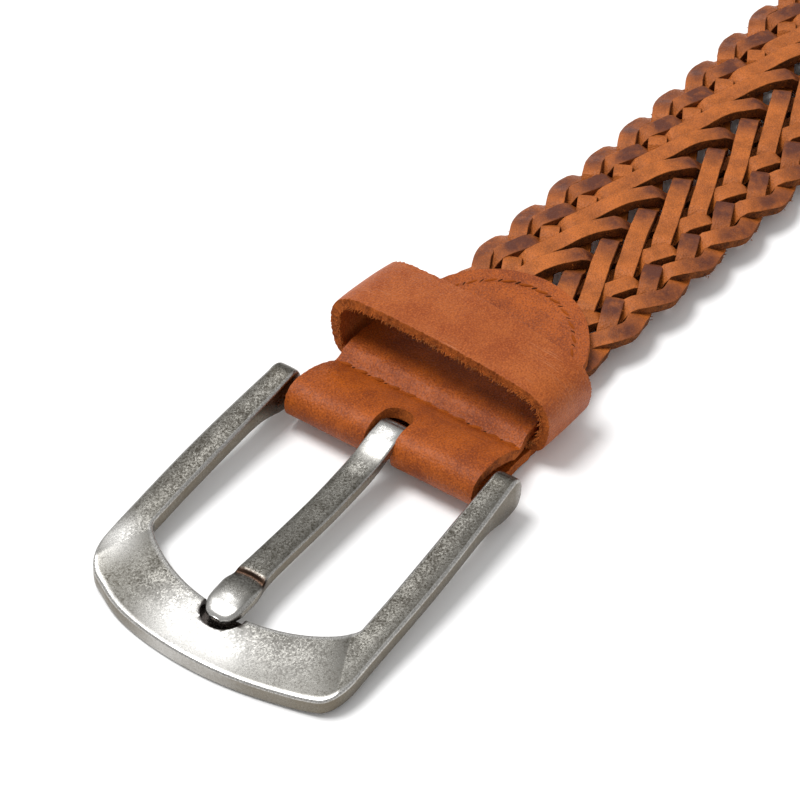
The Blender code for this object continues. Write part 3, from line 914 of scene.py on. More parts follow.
def frame_top(x, y, front_share):
    """Height of the top: the arms' plane, and past the corner's crease the lower facet."""
    plane = ARM_TOP_AT_BAR + FRAME_SLOPE * x
    past = (FACET_CREASE_X - x) * 0.42 - (abs(y) - INNER_HALF_AT_FRONT) * 0.91
    drop = FACET_DROP * (1 - math.exp(-max(0.0, past) / FACET_SOFTNESS)) if x < -39.0 else 0.0
    crown = 0.5 * front_share * (1 - (y / 24.0) ** 2)
    return plane - drop + crown


def round_section(rounding, under):
    """Places round the section: share from inner to outer edge, insets and height."""
    places = []
    corners = (
        # outer side?, top?, radius, start angle
        (0, 1, rounding, 180),
        (1, 1, rounding, 90),
        (1, 0, under, 0),
        (0, 0, under, 270),
    )
    for outer, top, radius, start in corners:
        for step in range(5):
            angle = math.radians(start - 90 * step / 4)
            inset = radius * (1 - abs(math.cos(angle)))
            places.append((outer, top, inset, radius * (1 - abs(math.sin(angle)))))
        if top and not outer:
            places += [(tenth / 10, 1, 0.0, 0.0) for tenth in range(1, 10)]
    return places


def build_frame_casting(settings):
    rows = frame_rows()
    half = len(rows)
    total = 2 * half - 1
    rounding = settings.buckle.edge_rounding / MM
    section = round_section(rounding, 0.45)
    around = len(section)
    last_arm_row = LUG_ROWS + ARM_ROWS - 1
    masks = {}

    def shape(column, row):
        side = 1 if row < half else -1
        index = row if row < half else total - 1 - row
        (inner_x, inner_y), (outer_x, outer_y), top, depth = rows[index]
        length = math.hypot(outer_x - inner_x, outer_y - inner_y)
        outward, upper, inset, sink = section[column % around]
        squeeze = min(1.0, depth / 2.4)
        distance = outward * length + (inset if outward < 0.5 else -inset) * squeeze
        x = inner_x + (outer_x - inner_x) / length * distance
        y = inner_y + (outer_y - inner_y) / length * distance
        near_corner = math.exp(-((x + 51.0) / 5.0) ** 2 - ((abs(y) - 23.0) / 6.0) ** 2) * outward
        pull = (0.8 if side > 0 else -0.4) * near_corner
        x += pull
        y -= pull
        height = top
        if top is None:
            height = frame_top(x, y, max(0.0, (index - last_arm_row) / (half - 1 - last_arm_row)))
        if upper:
            height -= 0.12 * (2 * distance / length - 1) ** 2 + sink * squeeze
        else:
            height += sink * squeeze - depth
        point = spot(x, side * y, height)
        is_top = upper and sink < 0.3 * rounding
        rim = 1.0 if upper and 0.0 < inset + sink and outward in (0, 1) and sink < 0.75 * rounding else 0.0
        masks[key_of(point)] = (0.5 * max(0.0, 1 - index / 13) if is_top else 1.0, rim, 0.0)
        return point

    bm = shaped_grid(around, total - 1, shape, closed=True)
    bmesh.ops.holes_fill(bm, edges=bm.edges, sides=0)
    bmesh.ops.recalc_face_normals(bm, faces=bm.faces)
    across_bar = Matrix.Translation(spot(0.0, 0.0, BAR_Z)) @ Matrix.Rotation(math.pi / 2, 4, "X")
    bmesh.ops.create_cone(bm, cap_ends=True, segments=32, radius1=BAR_RADIUS * MM, radius2=BAR_RADIUS * MM,
                          depth=(2 * INNER_HALF_AT_BAR + 2.0) * MM, matrix=across_bar)
    piece = add_piece("frame_casting", bm, [nickel_of(settings, "antique_nickel_casting")], "frame",
                      ("buckle_frame",))
    cut_notch(piece)
    paint_nickel(piece, masks)


def cut_notch(piece):
    """Round notch that the prong's end lies in, with a softened upper edge."""
    bm = bmesh.new()
    centre = spot(NOTCH_PLACE[0], NOTCH_PLACE[1], NOTCH_FLOOR_Z + 5.0)
    bmesh.ops.create_cone(bm, cap_ends=True, segments=64, radius1=NOTCH_RADIUS * MM,
                          radius2=NOTCH_RADIUS * MM, depth=10.0 * MM, matrix=Matrix.Translation(centre))
    cutter = link_new("notch_cutter", mesh_of("notch_cutter", bm))
    cut = piece.modifiers.new("notch", "BOOLEAN")
    cut.object = cutter
    cut.operation = "DIFFERENCE"
    cut.solver = "EXACT"
    graph = bpy.context.evaluated_depsgraph_get()
    result = bpy.data.meshes.new_from_object(piece.evaluated_get(graph))
    piece.modifiers.clear()
    old = piece.data
    piece.data = result
    result.name = piece.name
    bpy.data.meshes.remove(old)
    bpy.data.objects.remove(cutter)
    bm = bmesh.new()
    bm.from_mesh(result)
    rim = []
    for edge in bm.edges:
        near = True
        for vertex in edge.verts:
            radius = math.hypot(vertex.co.x - centre.x, vertex.co.y - centre.y) / MM
            near = near and abs(radius - NOTCH_RADIUS) <= 0.02 and vertex.co.z / MM >= NOTCH_FLOOR_Z + 0.4
        if near and len(edge.link_faces) == 2 and edge.calc_face_angle(0.0) > math.radians(35):
            rim.append(edge)
    bmesh.ops.bevel(bm, geom=rim, offset=NOTCH_BEVEL * MM, offset_type="OFFSET", segments=3, affect="EDGES",
                    profile=0.5, material=-1, clamp_overlap=True)
    bm.to_mesh(result)
    bm.free()
    result.shade_smooth()
    result.set_sharp_from_angle(angle=math.radians(38))


def paint_nickel(piece, masks):
    """Masks for the sides, the rubbed rims, the bright spots of wear and painted highlight, and the dark mask
    of patina in the prong's groove, painted shade on the arms and painted shadow in the notch, on the mesh's
    points.
    """
    mesh = piece.data
    side, rim, grime, worn = (mesh.attributes.new(mask, "FLOAT", "POINT") for mask in NICKEL_MASKS)
    for index, vertex in enumerate(mesh.vertices):
        x, y, z = (vertex.co / MM)[:]
        # Bright spots: partly wear, partly painted highlight where the metal mirrors the light.
        rubbed = 0.0
        for spot_x, spot_y, reach, share in WEAR_AND_HIGHLIGHT_SPOTS:
            away = math.hypot(x + ORIGIN_STATION - spot_x, y - spot_y)
            rubbed += share * math.exp(-(away / reach) ** 2)
        worn.data[index].value = min(1.0, rubbed)
        upright = abs(vertex.normal.z)
        away = math.hypot(x + ORIGIN_STATION - NOTCH_PLACE[0], y - NOTCH_PLACE[1])
        in_notch = away < NOTCH_RADIUS + 0.05 and z < 4.2
        # The notch's floor and lower walls get painted shadow through the dark mask.
        cut_masks = (float(upright < 0.6), float(0.3 < upright < 0.95), 0.9 if in_notch else 0.0)
        side_share, rim_share, grime_and_shade_share = masks.get(key_of(vertex.co), cut_masks)
        # Painted shade darkens the arms, fading out toward the front.
        if abs(y) > 15.0:
            grime_and_shade_share = max(grime_and_shade_share, ARM_PAINTED_SHADE * clamp((x + 62.0) / 12.0))
        side.data[index].value = side_share
        rim.data[index].value = rim_share
        grime.data[index].value = grime_and_shade_share


# Prong


def prong_section(row):
    """Middle, upward direction, thickness, width and distance before the bar of a row."""
    if row <= HOOK_STEPS:
        angle = math.radians(205 + 245 * row / HOOK_STEPS)
        radius = HOOK_INNER + HOOK_THICK / 2
        normal = (math.cos(angle), math.sin(angle))
        taper = min(1.0, 0.7 + 0.3 * row / 4)
        return (radius * normal[0], BAR_Z + radius * normal[1]), normal, HOOK_THICK * taper, HOOK_WIDTH, 0.0
    share = (row - HOOK_STEPS) / BODY_STEPS
    distance = PRONG_BODY[-1][0] * (1 - (1 - share) ** 1.35)
    top, under, width = (smooth_value(PRONG_BODY, distance, column) for column in (1, 2, 3))
    return (-distance, (top + under) / 2), (0.0, 1.0), top - under, width, distance


def build_prong_piece(settings):
    places = []
    for side, top, start in ((-1, 1, 180), (1, 1, 90), (1, -1, 0), (-1, -1, 270)):
        for step in range(5):
            angle = math.radians(start - 90 * step / 4)
            places.append((side, top, abs(math.cos(angle)), abs(math.sin(angle))))
        if top == 1 and side == -1:
            places += [(-0.5, 1, 0.0, 1.0), (0.0, 1, 0.0, 1.0), (0.5, 1, 0.0, 1.0)]
    around = len(places)
    masks = {}

    def shape(column, row):
        centre, normal, thick, width, distance = prong_section(row)
        side, top, out, up = places[column % around]
        soft = 0.32 + 0.5 * clamp((distance - 40.0) / 3.0)
        rounding = min(soft, thick / 2 * 0.85, width / 2 * 0.6)
        y = side * width / 2
        if abs(side) == 1:
            y = side * (width / 2 - rounding * (1 - out))
        arch = 1 - (2 * y / width) ** 2
        crown = (0.10 + 0.16 * clamp((distance - 40.0) / 4.0)) * arch if top > 0 else 0.0
        height = top * (thick / 2 - rounding * (1 - up)) + crown
        bow = 0.7 * math.exp(-((distance - 39.9) / 1.5) ** 2) * arch
        y += PRONG_Y + 0.5 * clamp((distance - 20.0) / 20.0)
        point = spot(centre[0] + normal[0] * height + bow, y, centre[1] + normal[1] * height)
        groove = math.exp(-((distance - 38.9) / 1.0) ** 4) if top > 0 else 0.0
        rim = 0.8 if top > 0 and 0.15 < up < 0.97 and distance > 1 else 0.0
        masks[key_of(point)] = (0.0 if top > 0 and up > 0.55 else 1.0, rim, groove)
        return point

    bm = shaped_grid(around, HOOK_STEPS + BODY_STEPS, shape, closed=True)
    bmesh.ops.holes_fill(bm, edges=bm.edges, sides=0)
    bmesh.ops.recalc_face_normals(bm, faces=bm.faces)
    piece = add_piece("prong_forging", bm, [nickel_of(settings, "antique_nickel_prong")], "prong",
                      ("prong",))
    piece.data.set_sharp_from_angle(angle=math.radians(60))
    paint_nickel(piece, masks)


# Tab


def tab_half_width(station):
    share = clamp(station / MOON_CENTRE)
    straight = TAB_HALF + share * (TAB_REAR_HALF - TAB_HALF)
    if station <= MOON_CENTRE:
        return straight
    reach = min(station - MOON_CENTRE, MOON_RADIUS)
    round_half = math.sqrt(max(0.0, MOON_RADIUS ** 2 - reach ** 2))
    lead = min(1.0, reach / MOON_LEAD)
    return straight + (round_half - straight) * lead


def tab_stations():
    """Stations of the tab's rows, close together in the slot's end and the half-moon."""
    stations = [0.3, 1.0, 1.8, 2.6, 3.3, 3.9, 4.25, 4.5, 4.7, 4.87, SLOT_END]
    stations += [5.8, 6.4, 7.0, 7.8, 8.7, 9.5, 10.1, 10.6, 11.1, 11.6, 12.1, 12.8, 13.6, 14.4, 15.4]
    stations += [16.6 + 1.21 * step for step in range(10)]
    moon = (math.sin(math.radians(86.5) * step / 22) for step in range(23))
    return stations + [MOON_CENTRE + MOON_RADIUS * reach for reach in moon]


def tab_path():
    """Rows from the lower end round the fold to the upper end: station, x, z."""
    stations = tab_stations()
    lower = [(s, s, smooth_value(TAB_LAYERS, s, 2)) for s in stations]
    upper = [(s, s, smooth_value(TAB_LAYERS, s, 1)) for s in stations]
    fold = []
    for step in range(1, 22):
        angle = math.radians(276 + (84 - 276) * step / 22)
        fold.append((0.0, FOLD_MID * math.cos(angle), BAR_Z + FOLD_MID * math.sin(angle)))
    return list(reversed(lower)) + fold + upper


def slot_half(station):
    if station <= SLOT_END:
        to_end = SLOT_END - station
        if to_end < SLOT_HALF:
            return max(SLOT_END_FLAT, math.sqrt(SLOT_HALF ** 2 - (SLOT_HALF - to_end) ** 2))
        return SLOT_HALF
    return min(SLOT_HALF, SLOT_END_FLAT + 1.2 * (station - SLOT_END))


def build_tab_piece(settings):
    path = tab_path()
    columns = 2 * SIDE_CELLS + MIDDLE_CELLS
    rows = len(path) - 1

    def shape(column, row):
        station, x, z = path[row]
        edge = tab_half_width(station)
        slot = min(slot_half(station), 0.3 * edge)
        past_slot = column - SIDE_CELLS - MIDDLE_CELLS
        if column < SIDE_CELLS:
            y = -edge + (edge - slot) * column / SIDE_CELLS
        elif past_slot <= 0:
            y = -slot + 2 * slot * (column - SIDE_CELLS) / MIDDLE_CELLS
        else:
            y = slot + (edge - slot) * past_slot / SIDE_CELLS
        if column in (0, columns):
            y += math.copysign(0.18, y) * ripple(0.9 * row, y)
        if row > rows / 2:
            pull = math.exp(-((station - CREASE_STATION) / 1.6) ** 2)
            z -= 0.22 * pull * (0.5 + 0.5 * math.cos(2 * math.pi * y / 3.2))
            z += 0.18 * ripple(y * 0.12, station * 0.15)
        else:
            z += 0.05 * ripple(y * 0.1, station * 0.1, 4.0)
        return place(x, y, z)

    bm, cells = flat_grid(columns, rows)
    slot_faces = []
    for face in bm.faces:
        column, row = (min(cells[vertex.index][axis] for vertex in face.verts) for axis in (0, 1))
        in_slot = min(path[row][0], path[row + 1][0]) < SLOT_END - 0.01
        if SIDE_CELLS <= column < SIDE_CELLS + MIDDLE_CELLS and in_slot:
            slot_faces.append(face)
    for vertex, (column, row) in zip(bm.verts, cells):
        vertex.co = shape(column, row)
    bmesh.ops.delete(bm, geom=slot_faces, context="FACES")
    bmesh.ops.recalc_face_normals(bm, faces=bm.faces)
    piece = add_piece("tab_leather", bm, [cognac_leather(settings), edge_material(settings)], "strap",
                      ("buckle_tab",))
    give_thickness(piece, TAB_THICK, 0.45, 3)


def add_fibre(bm, root, lean, length, sunk, sides, thick, thin):
    """One loose fibre: a thin cone that leans out of its root."""
    turn = lean.to_track_quat("Z", "X").to_matrix().to_4x4()
    middle = root + lean.normalized() * length * sunk * MM
    bmesh.ops.create_cone(bm, cap_ends=True, segments=sides, radius1=thick * MM, radius2=thin * MM,
                          depth=length * MM, matrix=Matrix.Translation(middle) @ turn)


# Keeper


def loop_point(share):
    """Point on the keeper's smooth middle line; share runs once round from 0 to 1."""
    loop = list(KEEPER_HALF_LOOP) + [(-y, z) for y, z in reversed(KEEPER_HALF_LOOP[1:-1])]
    count = len(loop)
    lengths = [math.dist(a, b) for a, b in zip(loop, loop[1:] + loop[:1])]
    target = (share % 1.0) * sum(lengths)
    index = 0
    while target > lengths[index] and index < count - 1:
        target -= lengths[index]
        index += 1
    points = [loop[(index + offset) % count] for offset in (-1, 0, 1, 2)]
    before, here, after = (math.dist(a, b) for a, b in zip(points, points[1:]))
    result = []
    for p0, p1, p2, p3 in zip(*points):
        start = ((p1 - p0) / before + (p2 - p1) / here) / 2 * here
        end = ((p2 - p1) / here + (p3 - p2) / after) / 2 * here
        result.append(eased(p1, p2, start, end, target / lengths[index]))
    return result


def keeper_point(across, along, lift=0.0):
    """Point of the keeper's sheet; lift moves it out of the loop."""
    y, z = loop_point(along)
    ahead = loop_point(along + 0.002)
    behind = loop_point(along - 0.002)
    run = (ahead[0] - behind[0], ahead[1] - behind[1])
    size = math.hypot(*run)
    normal = (run[1] / size, -run[0] / size)
    rise = max(0.0, z - KEEPER_LOW) / (KEEPER_HIGH - KEEPER_LOW)
    station = KEEPER_FRONT + across * (KEEPER_BACK - KEEPER_FRONT)
    lean = 1.0 + KEEPER_LEAN * y / KEEPER_HIGH * rise
    crown = 0.22 * (1 - (2 * across - 1) ** 2) - 0.12 + lift
    crown += 0.12 * ripple(y * 0.1, station * 0.12, z * 0.1) * rise
    drop = KEEPER_BACK_DROP + KEEPER_LEFT_DROP * clamp(y / 18.0)
    return station, y + normal[0] * crown, z * lean - drop * across * rise + normal[1] * crown


def build_keeper_piece(settings):
    around = 360
    columns = 12

    def shape(column, row):
        along = row / around
        station, y, z = keeper_point(column / columns, along)
        if column in (0, columns):
            station += 0.26 * ripple(along * 170, 3.0) + 0.2 * ripple(along * 390, 7.0)
        return place(station, y, z)

    bm = shaped_grid(columns, around, shape, closed=True)
    leather = settings.leather
    colours = leather_colours(leather.keeper_tan, lighter(leather.dark_cognac, 1.35))
    skin = material_named("keeper_tan_leather", keeper_leather, colours)
    piece = add_piece("keeper_leather_loop", bm, [skin, edge_material(settings)], "strap",
                      ("keeper",))
    give_thickness(piece, KEEPER_THICK, 0.35, 3)


def keeper_leather(name, colours):
    """Keeper leather: the smooth grain with fine pale scuffs along the loop."""
    material = smooth_leather(name, colours, 130.0, 3300.0)
    tree = material.node_tree
    shader = tree.nodes["Principled BSDF"]
    coordinates = tree.nodes["Texture Coordinate"].outputs["Object"]
    stretch = tree.nodes.new("ShaderNodeMapping")
    stretch.inputs["Rotation"].default_value = (0.0, 0.0, math.radians(8))
    stretch.inputs["Scale"].default_value = (3400.0, 110.0, 110.0)
    tree.links.new(coordinates, stretch.inputs["Vector"])
    lines = add_noise(tree, stretch.outputs["Vector"], 1.0, 3.0, 0.6)
    patches = add_noise(tree, coordinates, 95.0, 2.0, 0.5)
    scuffs = multiply(tree, add_range(tree, lines, 0.55, 0.75), add_range(tree, patches, 0.52, 0.68))
    plain = shader.inputs["Base Color"].links[0].from_socket
    wire(tree, shader, {"Base Color": add_mix(tree, multiply(tree, scuffs, 0.3), plain, (0.70, 0.36, 0.20))})
    return material


# Braid


def way_angle(way, run):
    """Angle between a strand and the belt's run."""
    return abs(math.atan(smooth_value(way, run + 0.5, 1) - smooth_value(way, run - 0.5, 1)))


def crossing_runs():
    """Run since the turn of each crossing and how much of it the other strand covers."""
    right_end = RIGHT_WAY[-1][0]
    left_end = LEFT_WAY[-1][0]
    to_right = [(0.0, 0.0), (right_end, 0.0)]
    to_left = [(0.0, 0.0), (left_end, 0.0)]
    for crossing in range(1, CROSSINGS + 1):
        lag = left_end - PITCH * crossing
        low = max(0.0, -lag)
        high = min(right_end, left_end - lag)
        for _ in range(40):
            middle = (low + high) / 2
            if smooth_value(RIGHT_WAY, middle, 1) > smooth_value(LEFT_WAY, middle + lag, 1):
                low = middle
            else:
                high = middle
        right_angle = way_angle(RIGHT_WAY, low)
        left_angle = way_angle(LEFT_WAY, low + lag)
        cover = STRAND_COVER / math.sin(right_angle + left_angle)
        to_right.append((low, cover * math.cos(right_angle)))
        to_left.append((low + lag, cover * math.cos(left_angle)))
    return sorted(to_right), sorted(to_left)


RIGHT_CROSSINGS, LEFT_CROSSINGS = crossing_runs()


def strand_path(strand, place_now):
    """Across, height step and crossing number of one strand at a station."""
    turned = (place_now - FIRST_LEFT_TURN - PITCH * strand) % FULL_RUN
    to_right = turned < RIGHT_WAY[-1][0]
    way = RIGHT_WAY if to_right else LEFT_WAY
    crossings = RIGHT_CROSSINGS if to_right else LEFT_CROSSINGS
    since = turned if to_right else turned - RIGHT_WAY[-1][0]
    across = smooth_value(way, since, 1)
    index = 0
    while index < CROSSINGS and since > crossings[index + 1][0]:
        index += 1
    span = crossings[index + 1][0] - crossings[index][0]
    share = (since - crossings[index][0]) / span
    change = STRAND_STEPS[index + 1] - STRAND_STEPS[index]
    if index == CROSSINGS or abs(change) < 0.5:
        first, last = 0.2, 1.0
    elif change > 0:
        hidden = crossings[index][1] / span
        first, last = hidden - 0.15, hidden + 0.3
    else:
        hidden = 1 - crossings[index + 1][1] / span
        first, last = hidden - 0.3, hidden + 0.15
        if index == CENTRE_DIVE:
            first, last = hidden - 0.6, hidden + 0.1
    first = max(0.0, first)
    t = clamp((share - first) / (min(1.0, last) - first))
    step = STRAND_STEPS[index] + change * t * t * (3 - 2 * t)
    return across, step, index + share


def strand_middle(strand, place_now):
    """Station, across and height of a strand's middle, and its crossing number."""
    across, step, crossing = strand_path(strand, place_now)
    low, thick, width_share = (straight_value(BRAID_PROFILE, place_now, column) for column in (1, 2, 3))
    edge = min(1.0, abs(across) / 16.5) ** 5
    swing = max(0.0, thick - 2.0) / 2 * 1.1 * (1 - 0.25 * edge)
    jitter = 0.12 * ripple(place_now * 0.21, strand * 3.7)
    height = low + thick / 2 + swing * step + (0.4 + jitter) * min(1.0, swing)
    wander = 0.25 * ripple(place_now * 0.09, strand * 5.1, 2.0)
    return place_now, (across + wander) * width_share, height, crossing


def edge_turn(y):
    """0 in the middle of the belt, 1 where the strands turn at its edges."""
    return clamp((abs(y) - EDGE_TURN_FROM) / EDGE_TURN_LENGTH)


def crest_share(strand, row, crossing):
    """How dark a strand's top is rubbed at a crossing number."""
    rubbed = 0.0
    for centre, amount in CRESTS:
        spread = 0.6 if crossing < centre else 0.42
        lively = 0.75 + 0.5 * ripple(round(crossing - centre) + 11 * strand, int(row / 60))
        rubbed += amount * lively * math.exp(-((crossing - centre) / spread) ** 2)
    return rubbed


def build_strand(settings, strand):
    braid = settings.braid
    rows = int((BRAID_END - BRAID_START) / STRAND_ROW)
    columns = 4
    middles = [strand_middle(strand, BRAID_START + row * STRAND_ROW) for row in range(-1, rows + 2)]

    def shape(column, row):
        share = 2 * column / columns - 1
        before, (station, y, height, crossing), after = middles[row:row + 3]
        run = (after[0] - before[0], after[1] - before[1])
        size = math.hypot(*run)
        edge = edge_turn(y)
        width = braid.strand_width / MM / 2 * (1 + 0.05 * ripple(row * 0.08, strand * 2.3, 5.0))
        width *= 1 - 0.08 * edge
        if abs(share) > 0.9:
            width += 0.07 * ripple(row * 1.7, strand * 9.1, share)
        offset = share * width
        tilt = -STRAND_TILT * edge * (offset * run[0] / size) * (1.0 if y > 0 else -1.0)
        height += 0.07 * (1 - share * share) - 0.03 + tilt
        point = place(station - run[1] / size * offset, y + run[0] / size * offset, height)
        return point, min(1.0, crest_share(strand, row, crossing) * (1 - 0.3 * share * share))

    bm, cells = flat_grid(columns, rows)
    layer = bm.verts.layers.float.new("burnish")
    for vertex, (column, row) in zip(bm.verts, cells):
        vertex.co, vertex[layer] = shape(column, row)
    bmesh.ops.recalc_face_normals(bm, faces=bm.faces)
    colours = (braid.tan, lighter(braid.tan, 0.55), lighter(braid.tan, 1.3), braid.burnt)
    skin = material_named("tan_strand_leather", smooth_leather, colours, 320.0, 4300.0, True)
    side = material_named("strand_suede_side", raw_edge, braid.suede, (0.035, 0.010, 0.003), 2600.0, 0.35)
    piece = add_piece(f"braid_strand_{strand + 1:02d}", bm, [skin, side], "strap",
                      ("braid_band",))
    give_thickness(piece, braid.strand_thickness / MM, 0.2, 2)


def build_braid_fibres(settings):
    """Short loose fibres along the cut sides of the strands."""
    chance = random.Random(23)
    braid = settings.braid
    half_width = braid.strand_width / MM / 2
    thick = braid.strand_thickness / MM
    fibre = material_named("loose_strand_fibres", raw_edge, lighter(braid.suede, 2.0),
                           lighter(braid.suede, 0.8), 2600.0, 0.1)
    whole = bmesh.new()
    for strand in range(STRANDS):
        bm = bmesh.new()
        for _ in range(FIBRES_A_STRAND):
            station = chance.uniform(BRAID_START + 2.0, BRAID_END - 12.0)
            _, y, height, _ = strand_middle(strand, station)
            ahead = strand_middle(strand, station + 0.4)
            run = Vector((0.4, ahead[1] - y)).normalized()
            side = chance.choice((-1.0, 1.0))
            if abs(y) > EDGE_TURN_FROM and chance.random() < 0.75:
                side = math.copysign(1.0, y)
            offset = side * half_width * 0.96
            tilt = -STRAND_TILT * edge_turn(y) * abs(offset) * (1 if side * y > 0 else -1)
            root = place(station - run.y * offset, y + run.x * offset,
                         height + tilt + thick * chance.uniform(-0.45, 0.4))
            lean = Vector((-run.y * side, run.x * side, 0.0)) + Vector(
                (chance.uniform(-0.7, 0.7), chance.uniform(-0.7, 0.7), chance.uniform(-0.5, 0.6)))
            add_fibre(bm, root, lean, chance.uniform(0.25, 0.65), 0.35, 3, 0.11, 0.03)
        part = mesh_of("strand_fibres", bm)
        whole.from_mesh(part)
        bpy.data.meshes.remove(part)
    add_piece("braid_side_fibres", whole, [fibre], "strap", ("braid_band",))


# Belt tip


def tip_half_width(station):
    from_start = station - TIP_START
    if from_start < TIP_MOON_RADIUS:
        reach = TIP_MOON_RADIUS - from_start
        moon = math.sqrt(max(9.0, TIP_MOON_RADIUS ** 2 - reach ** 2))
        return moon + (TIP_HALF - moon) * max(0.0, 1 - reach / TIP_MOON_LEAD)
    to_end = TIP_END - station
    if to_end < TIP_POINT_LENGTH:
        share = 1 - to_end / TIP_POINT_LENGTH
        return TIP_HALF * math.sqrt(max(0.03, 1 - share ** 2.2))
    return TIP_HALF


def tip_stations():
    moon_end = TIP_START + TIP_MOON_RADIUS
    stations = [TIP_START + 0.2 + (TIP_MOON_RADIUS - 0.2) * (1 - math.cos(math.radians(90) * step / 17))
                for step in range(18)]
    stations += [moon_end + 2.0 * step for step in range(1, 56)]
    point_start = TIP_END - TIP_POINT_LENGTH
    point = (math.sin(math.radians(89) * step / 19) for step in range(20))
    return sorted(stations + [point_start + TIP_POINT_LENGTH * reach for reach in point])


def build_tip_pieces(settings):
    stations = tip_stations()
    columns = 16

    def layer(height_at):
        def shape(column, row):
            station = stations[row]
            return place(station, (2 * column / columns - 1) * tip_half_width(station), height_at(station))
        return shape

    layers = (
        ("tip_upper_leather", lambda station: smooth_value(TIP_UPPER, station, 1)),
        ("tip_lower_leather", lambda station: TIP_THICK / 2),
    )
    for name, height_at in layers:
        bm = shaped_grid(columns, len(stations) - 1, layer(height_at))
        piece = add_piece(name, bm, [cognac_leather(settings), edge_material(settings)], "strap",
                          ("belt_tip",))
        give_thickness(piece, TIP_THICK, 0.35, 3, even=False)


# Stitches


def add_stitch(bm, station, y, height, lean, length, width):
    """One sunken stitch: a bead of thread, longer than thick, that points along lean."""
    centre = place(station, y, height)
    along = (place(station + lean[0], y + lean[1], height) - centre).normalized()
    side = UP.cross(along).normalized()
    rise = along.cross(side).normalized()
    turn = Matrix((along, side, rise)).transposed().to_4x4()
    size = Matrix.Diagonal((length / 2 * MM, width / 2 * MM, width / 2 * MM, 1.0))
    bmesh.ops.create_uvsphere(bm, u_segments=8, v_segments=6, radius=1.0,
                              matrix=Matrix.Translation(centre) @ turn @ size)


def crease_row(step, bm, shift, sunk, lean, wavy, length, width):
    """Stitches, or dark beads of painted shade standing for holes, across the tab's crease, shifted by a
    share of a step.
    """
    count = int(2 * CREASE_ROW_HALF / step)
    height = smooth_value(TAB_LAYERS, CREASE_STATION, 1) + TAB_THICK / 2 - sunk
    for index in range(count if shift else count + 1):
        y = -CREASE_ROW_HALF + 2 * CREASE_ROW_HALF * (index + shift) / count
        wave = wavy * ripple(index * 1.3, 1.0)
        add_stitch(bm, CREASE_STATION + wave, y, height, lean, length, width)


def half_moon_row(step, bm, shift, sunk, slant, length, width):
    """Stitches, or dark beads of painted shade standing for holes, along the tab's half-moon end."""
    radius = MOON_RADIUS - STITCH_INSET
    count = int(radius * MOON_SWEEP / step)
    for index in range(count if shift else count + 1):
        angle = -MOON_SWEEP / 2 + MOON_SWEEP * (index + shift) / count
        station = MOON_CENTRE + radius * math.cos(angle)
        height = smooth_value(TAB_LAYERS, station, 1) + TAB_THICK / 2 - sunk
        lean = (-math.sin(angle + slant), math.cos(angle + slant))
        add_stitch(bm, station, radius * math.sin(angle), height, lean, length, width)


def tip_row(step, bm):
    """Stitches round the tip, a fixed distance inside its edge."""
    points = []
    station = TIP_START + STITCH_INSET + 0.5
    while station < TIP_END - STITCH_INSET:
        points.append((station, max(0.0, tip_half_width(station) - STITCH_INSET)))
        station += 0.5
    for side in (1, -1):
        walked = 0.0
        for last, (station, half) in zip(points, points[1:]):
            walked += math.hypot(station - last[0], half - last[1])
            if walked >= step:
                walked -= step
                height = smooth_value(TIP_UPPER, station, 1) + TIP_THICK / 2 - 0.08
                lean = (station - last[0], side * (half - last[1]))
                add_stitch(bm, station, side * half, height, lean, 0.74 * step, 0.65)


def build_stitch_rows(settings):
    step = settings.leather.stitch_step / MM
    cognac = settings.leather.cognac
    thread = material_named("cognac_thread", raw_edge, cognac, lighter(cognac, 0.6), 2600.0, 0.12)
    # The holes are dark beads sunk into the leather: painted shade for the inside of the stitch holes.
    hole_shade = material_named("stitch_holes", raw_edge, (0.10, 0.026, 0.006), (0.05, 0.013, 0.003), 2600.0, 0.1)
    bm = bmesh.new()
    crease_row(step, bm, 0.0, 0.18, (-0.25, 1.0), 0.18, 0.86 * step, 0.8)
    add_piece("crease_stitches", bm, [thread], "strap")
    bm = bmesh.new()
    half_moon_row(step, bm, 0.0, 0.1, 0.24, 0.86 * step, 0.62)
    add_piece("half_moon_stitches", bm, [thread], "strap")
    # Painted shade: dark beads where the stitch holes are.
    bm = bmesh.new()
    half_moon_row(step, bm, 0.5, 0.03, 0.75, 1.15, 0.32)
    crease_row(step, bm, 0.5, 0.15, (-0.6, 1.0), 0.0, 0.8, 0.36)
    add_piece("stitch_holes", bm, [hole_shade], "strap")
    bm = bmesh.new()
    tip_row(step, bm)
    add_piece("tip_stitches", bm, [thread], "strap")


def build_keeper_fibres(settings):
    """Short loose fibres along the keeper's raw edges."""
    chance = random.Random(17)
    fibre = material_named("loose_fibres", raw_edge, lighter(settings.leather.cut_edge, 1.1),
                           (0.2, 0.07, 0.02), 2600.0, 0.1)
    bm = bmesh.new()
    for edge, out in ((0.0, -1.0), (1.0, 1.0)):
        for index in range(KEEPER_EDGE_FIBRES):
            along = (index + chance.random()) / KEEPER_EDGE_FIBRES
            lift = -KEEPER_THICK / 2 * (0.35 + 0.7 * chance.random())
            station, y, z = keeper_point(edge, along, lift)
            root = place(station - out * 0.1, y, z)
            length = 0.35 + 0.55 * chance.random()
            lean = Vector((
                out * (0.5 + chance.random()), chance.uniform(-0.9, 0.9), chance.uniform(-1.0, 0.6)))
            add_fibre(bm, root, lean, length, 0.45, 4, 0.15, 0.04)
    add_piece("keeper_edge_fibres", bm, [fibre], "strap")


# Studio


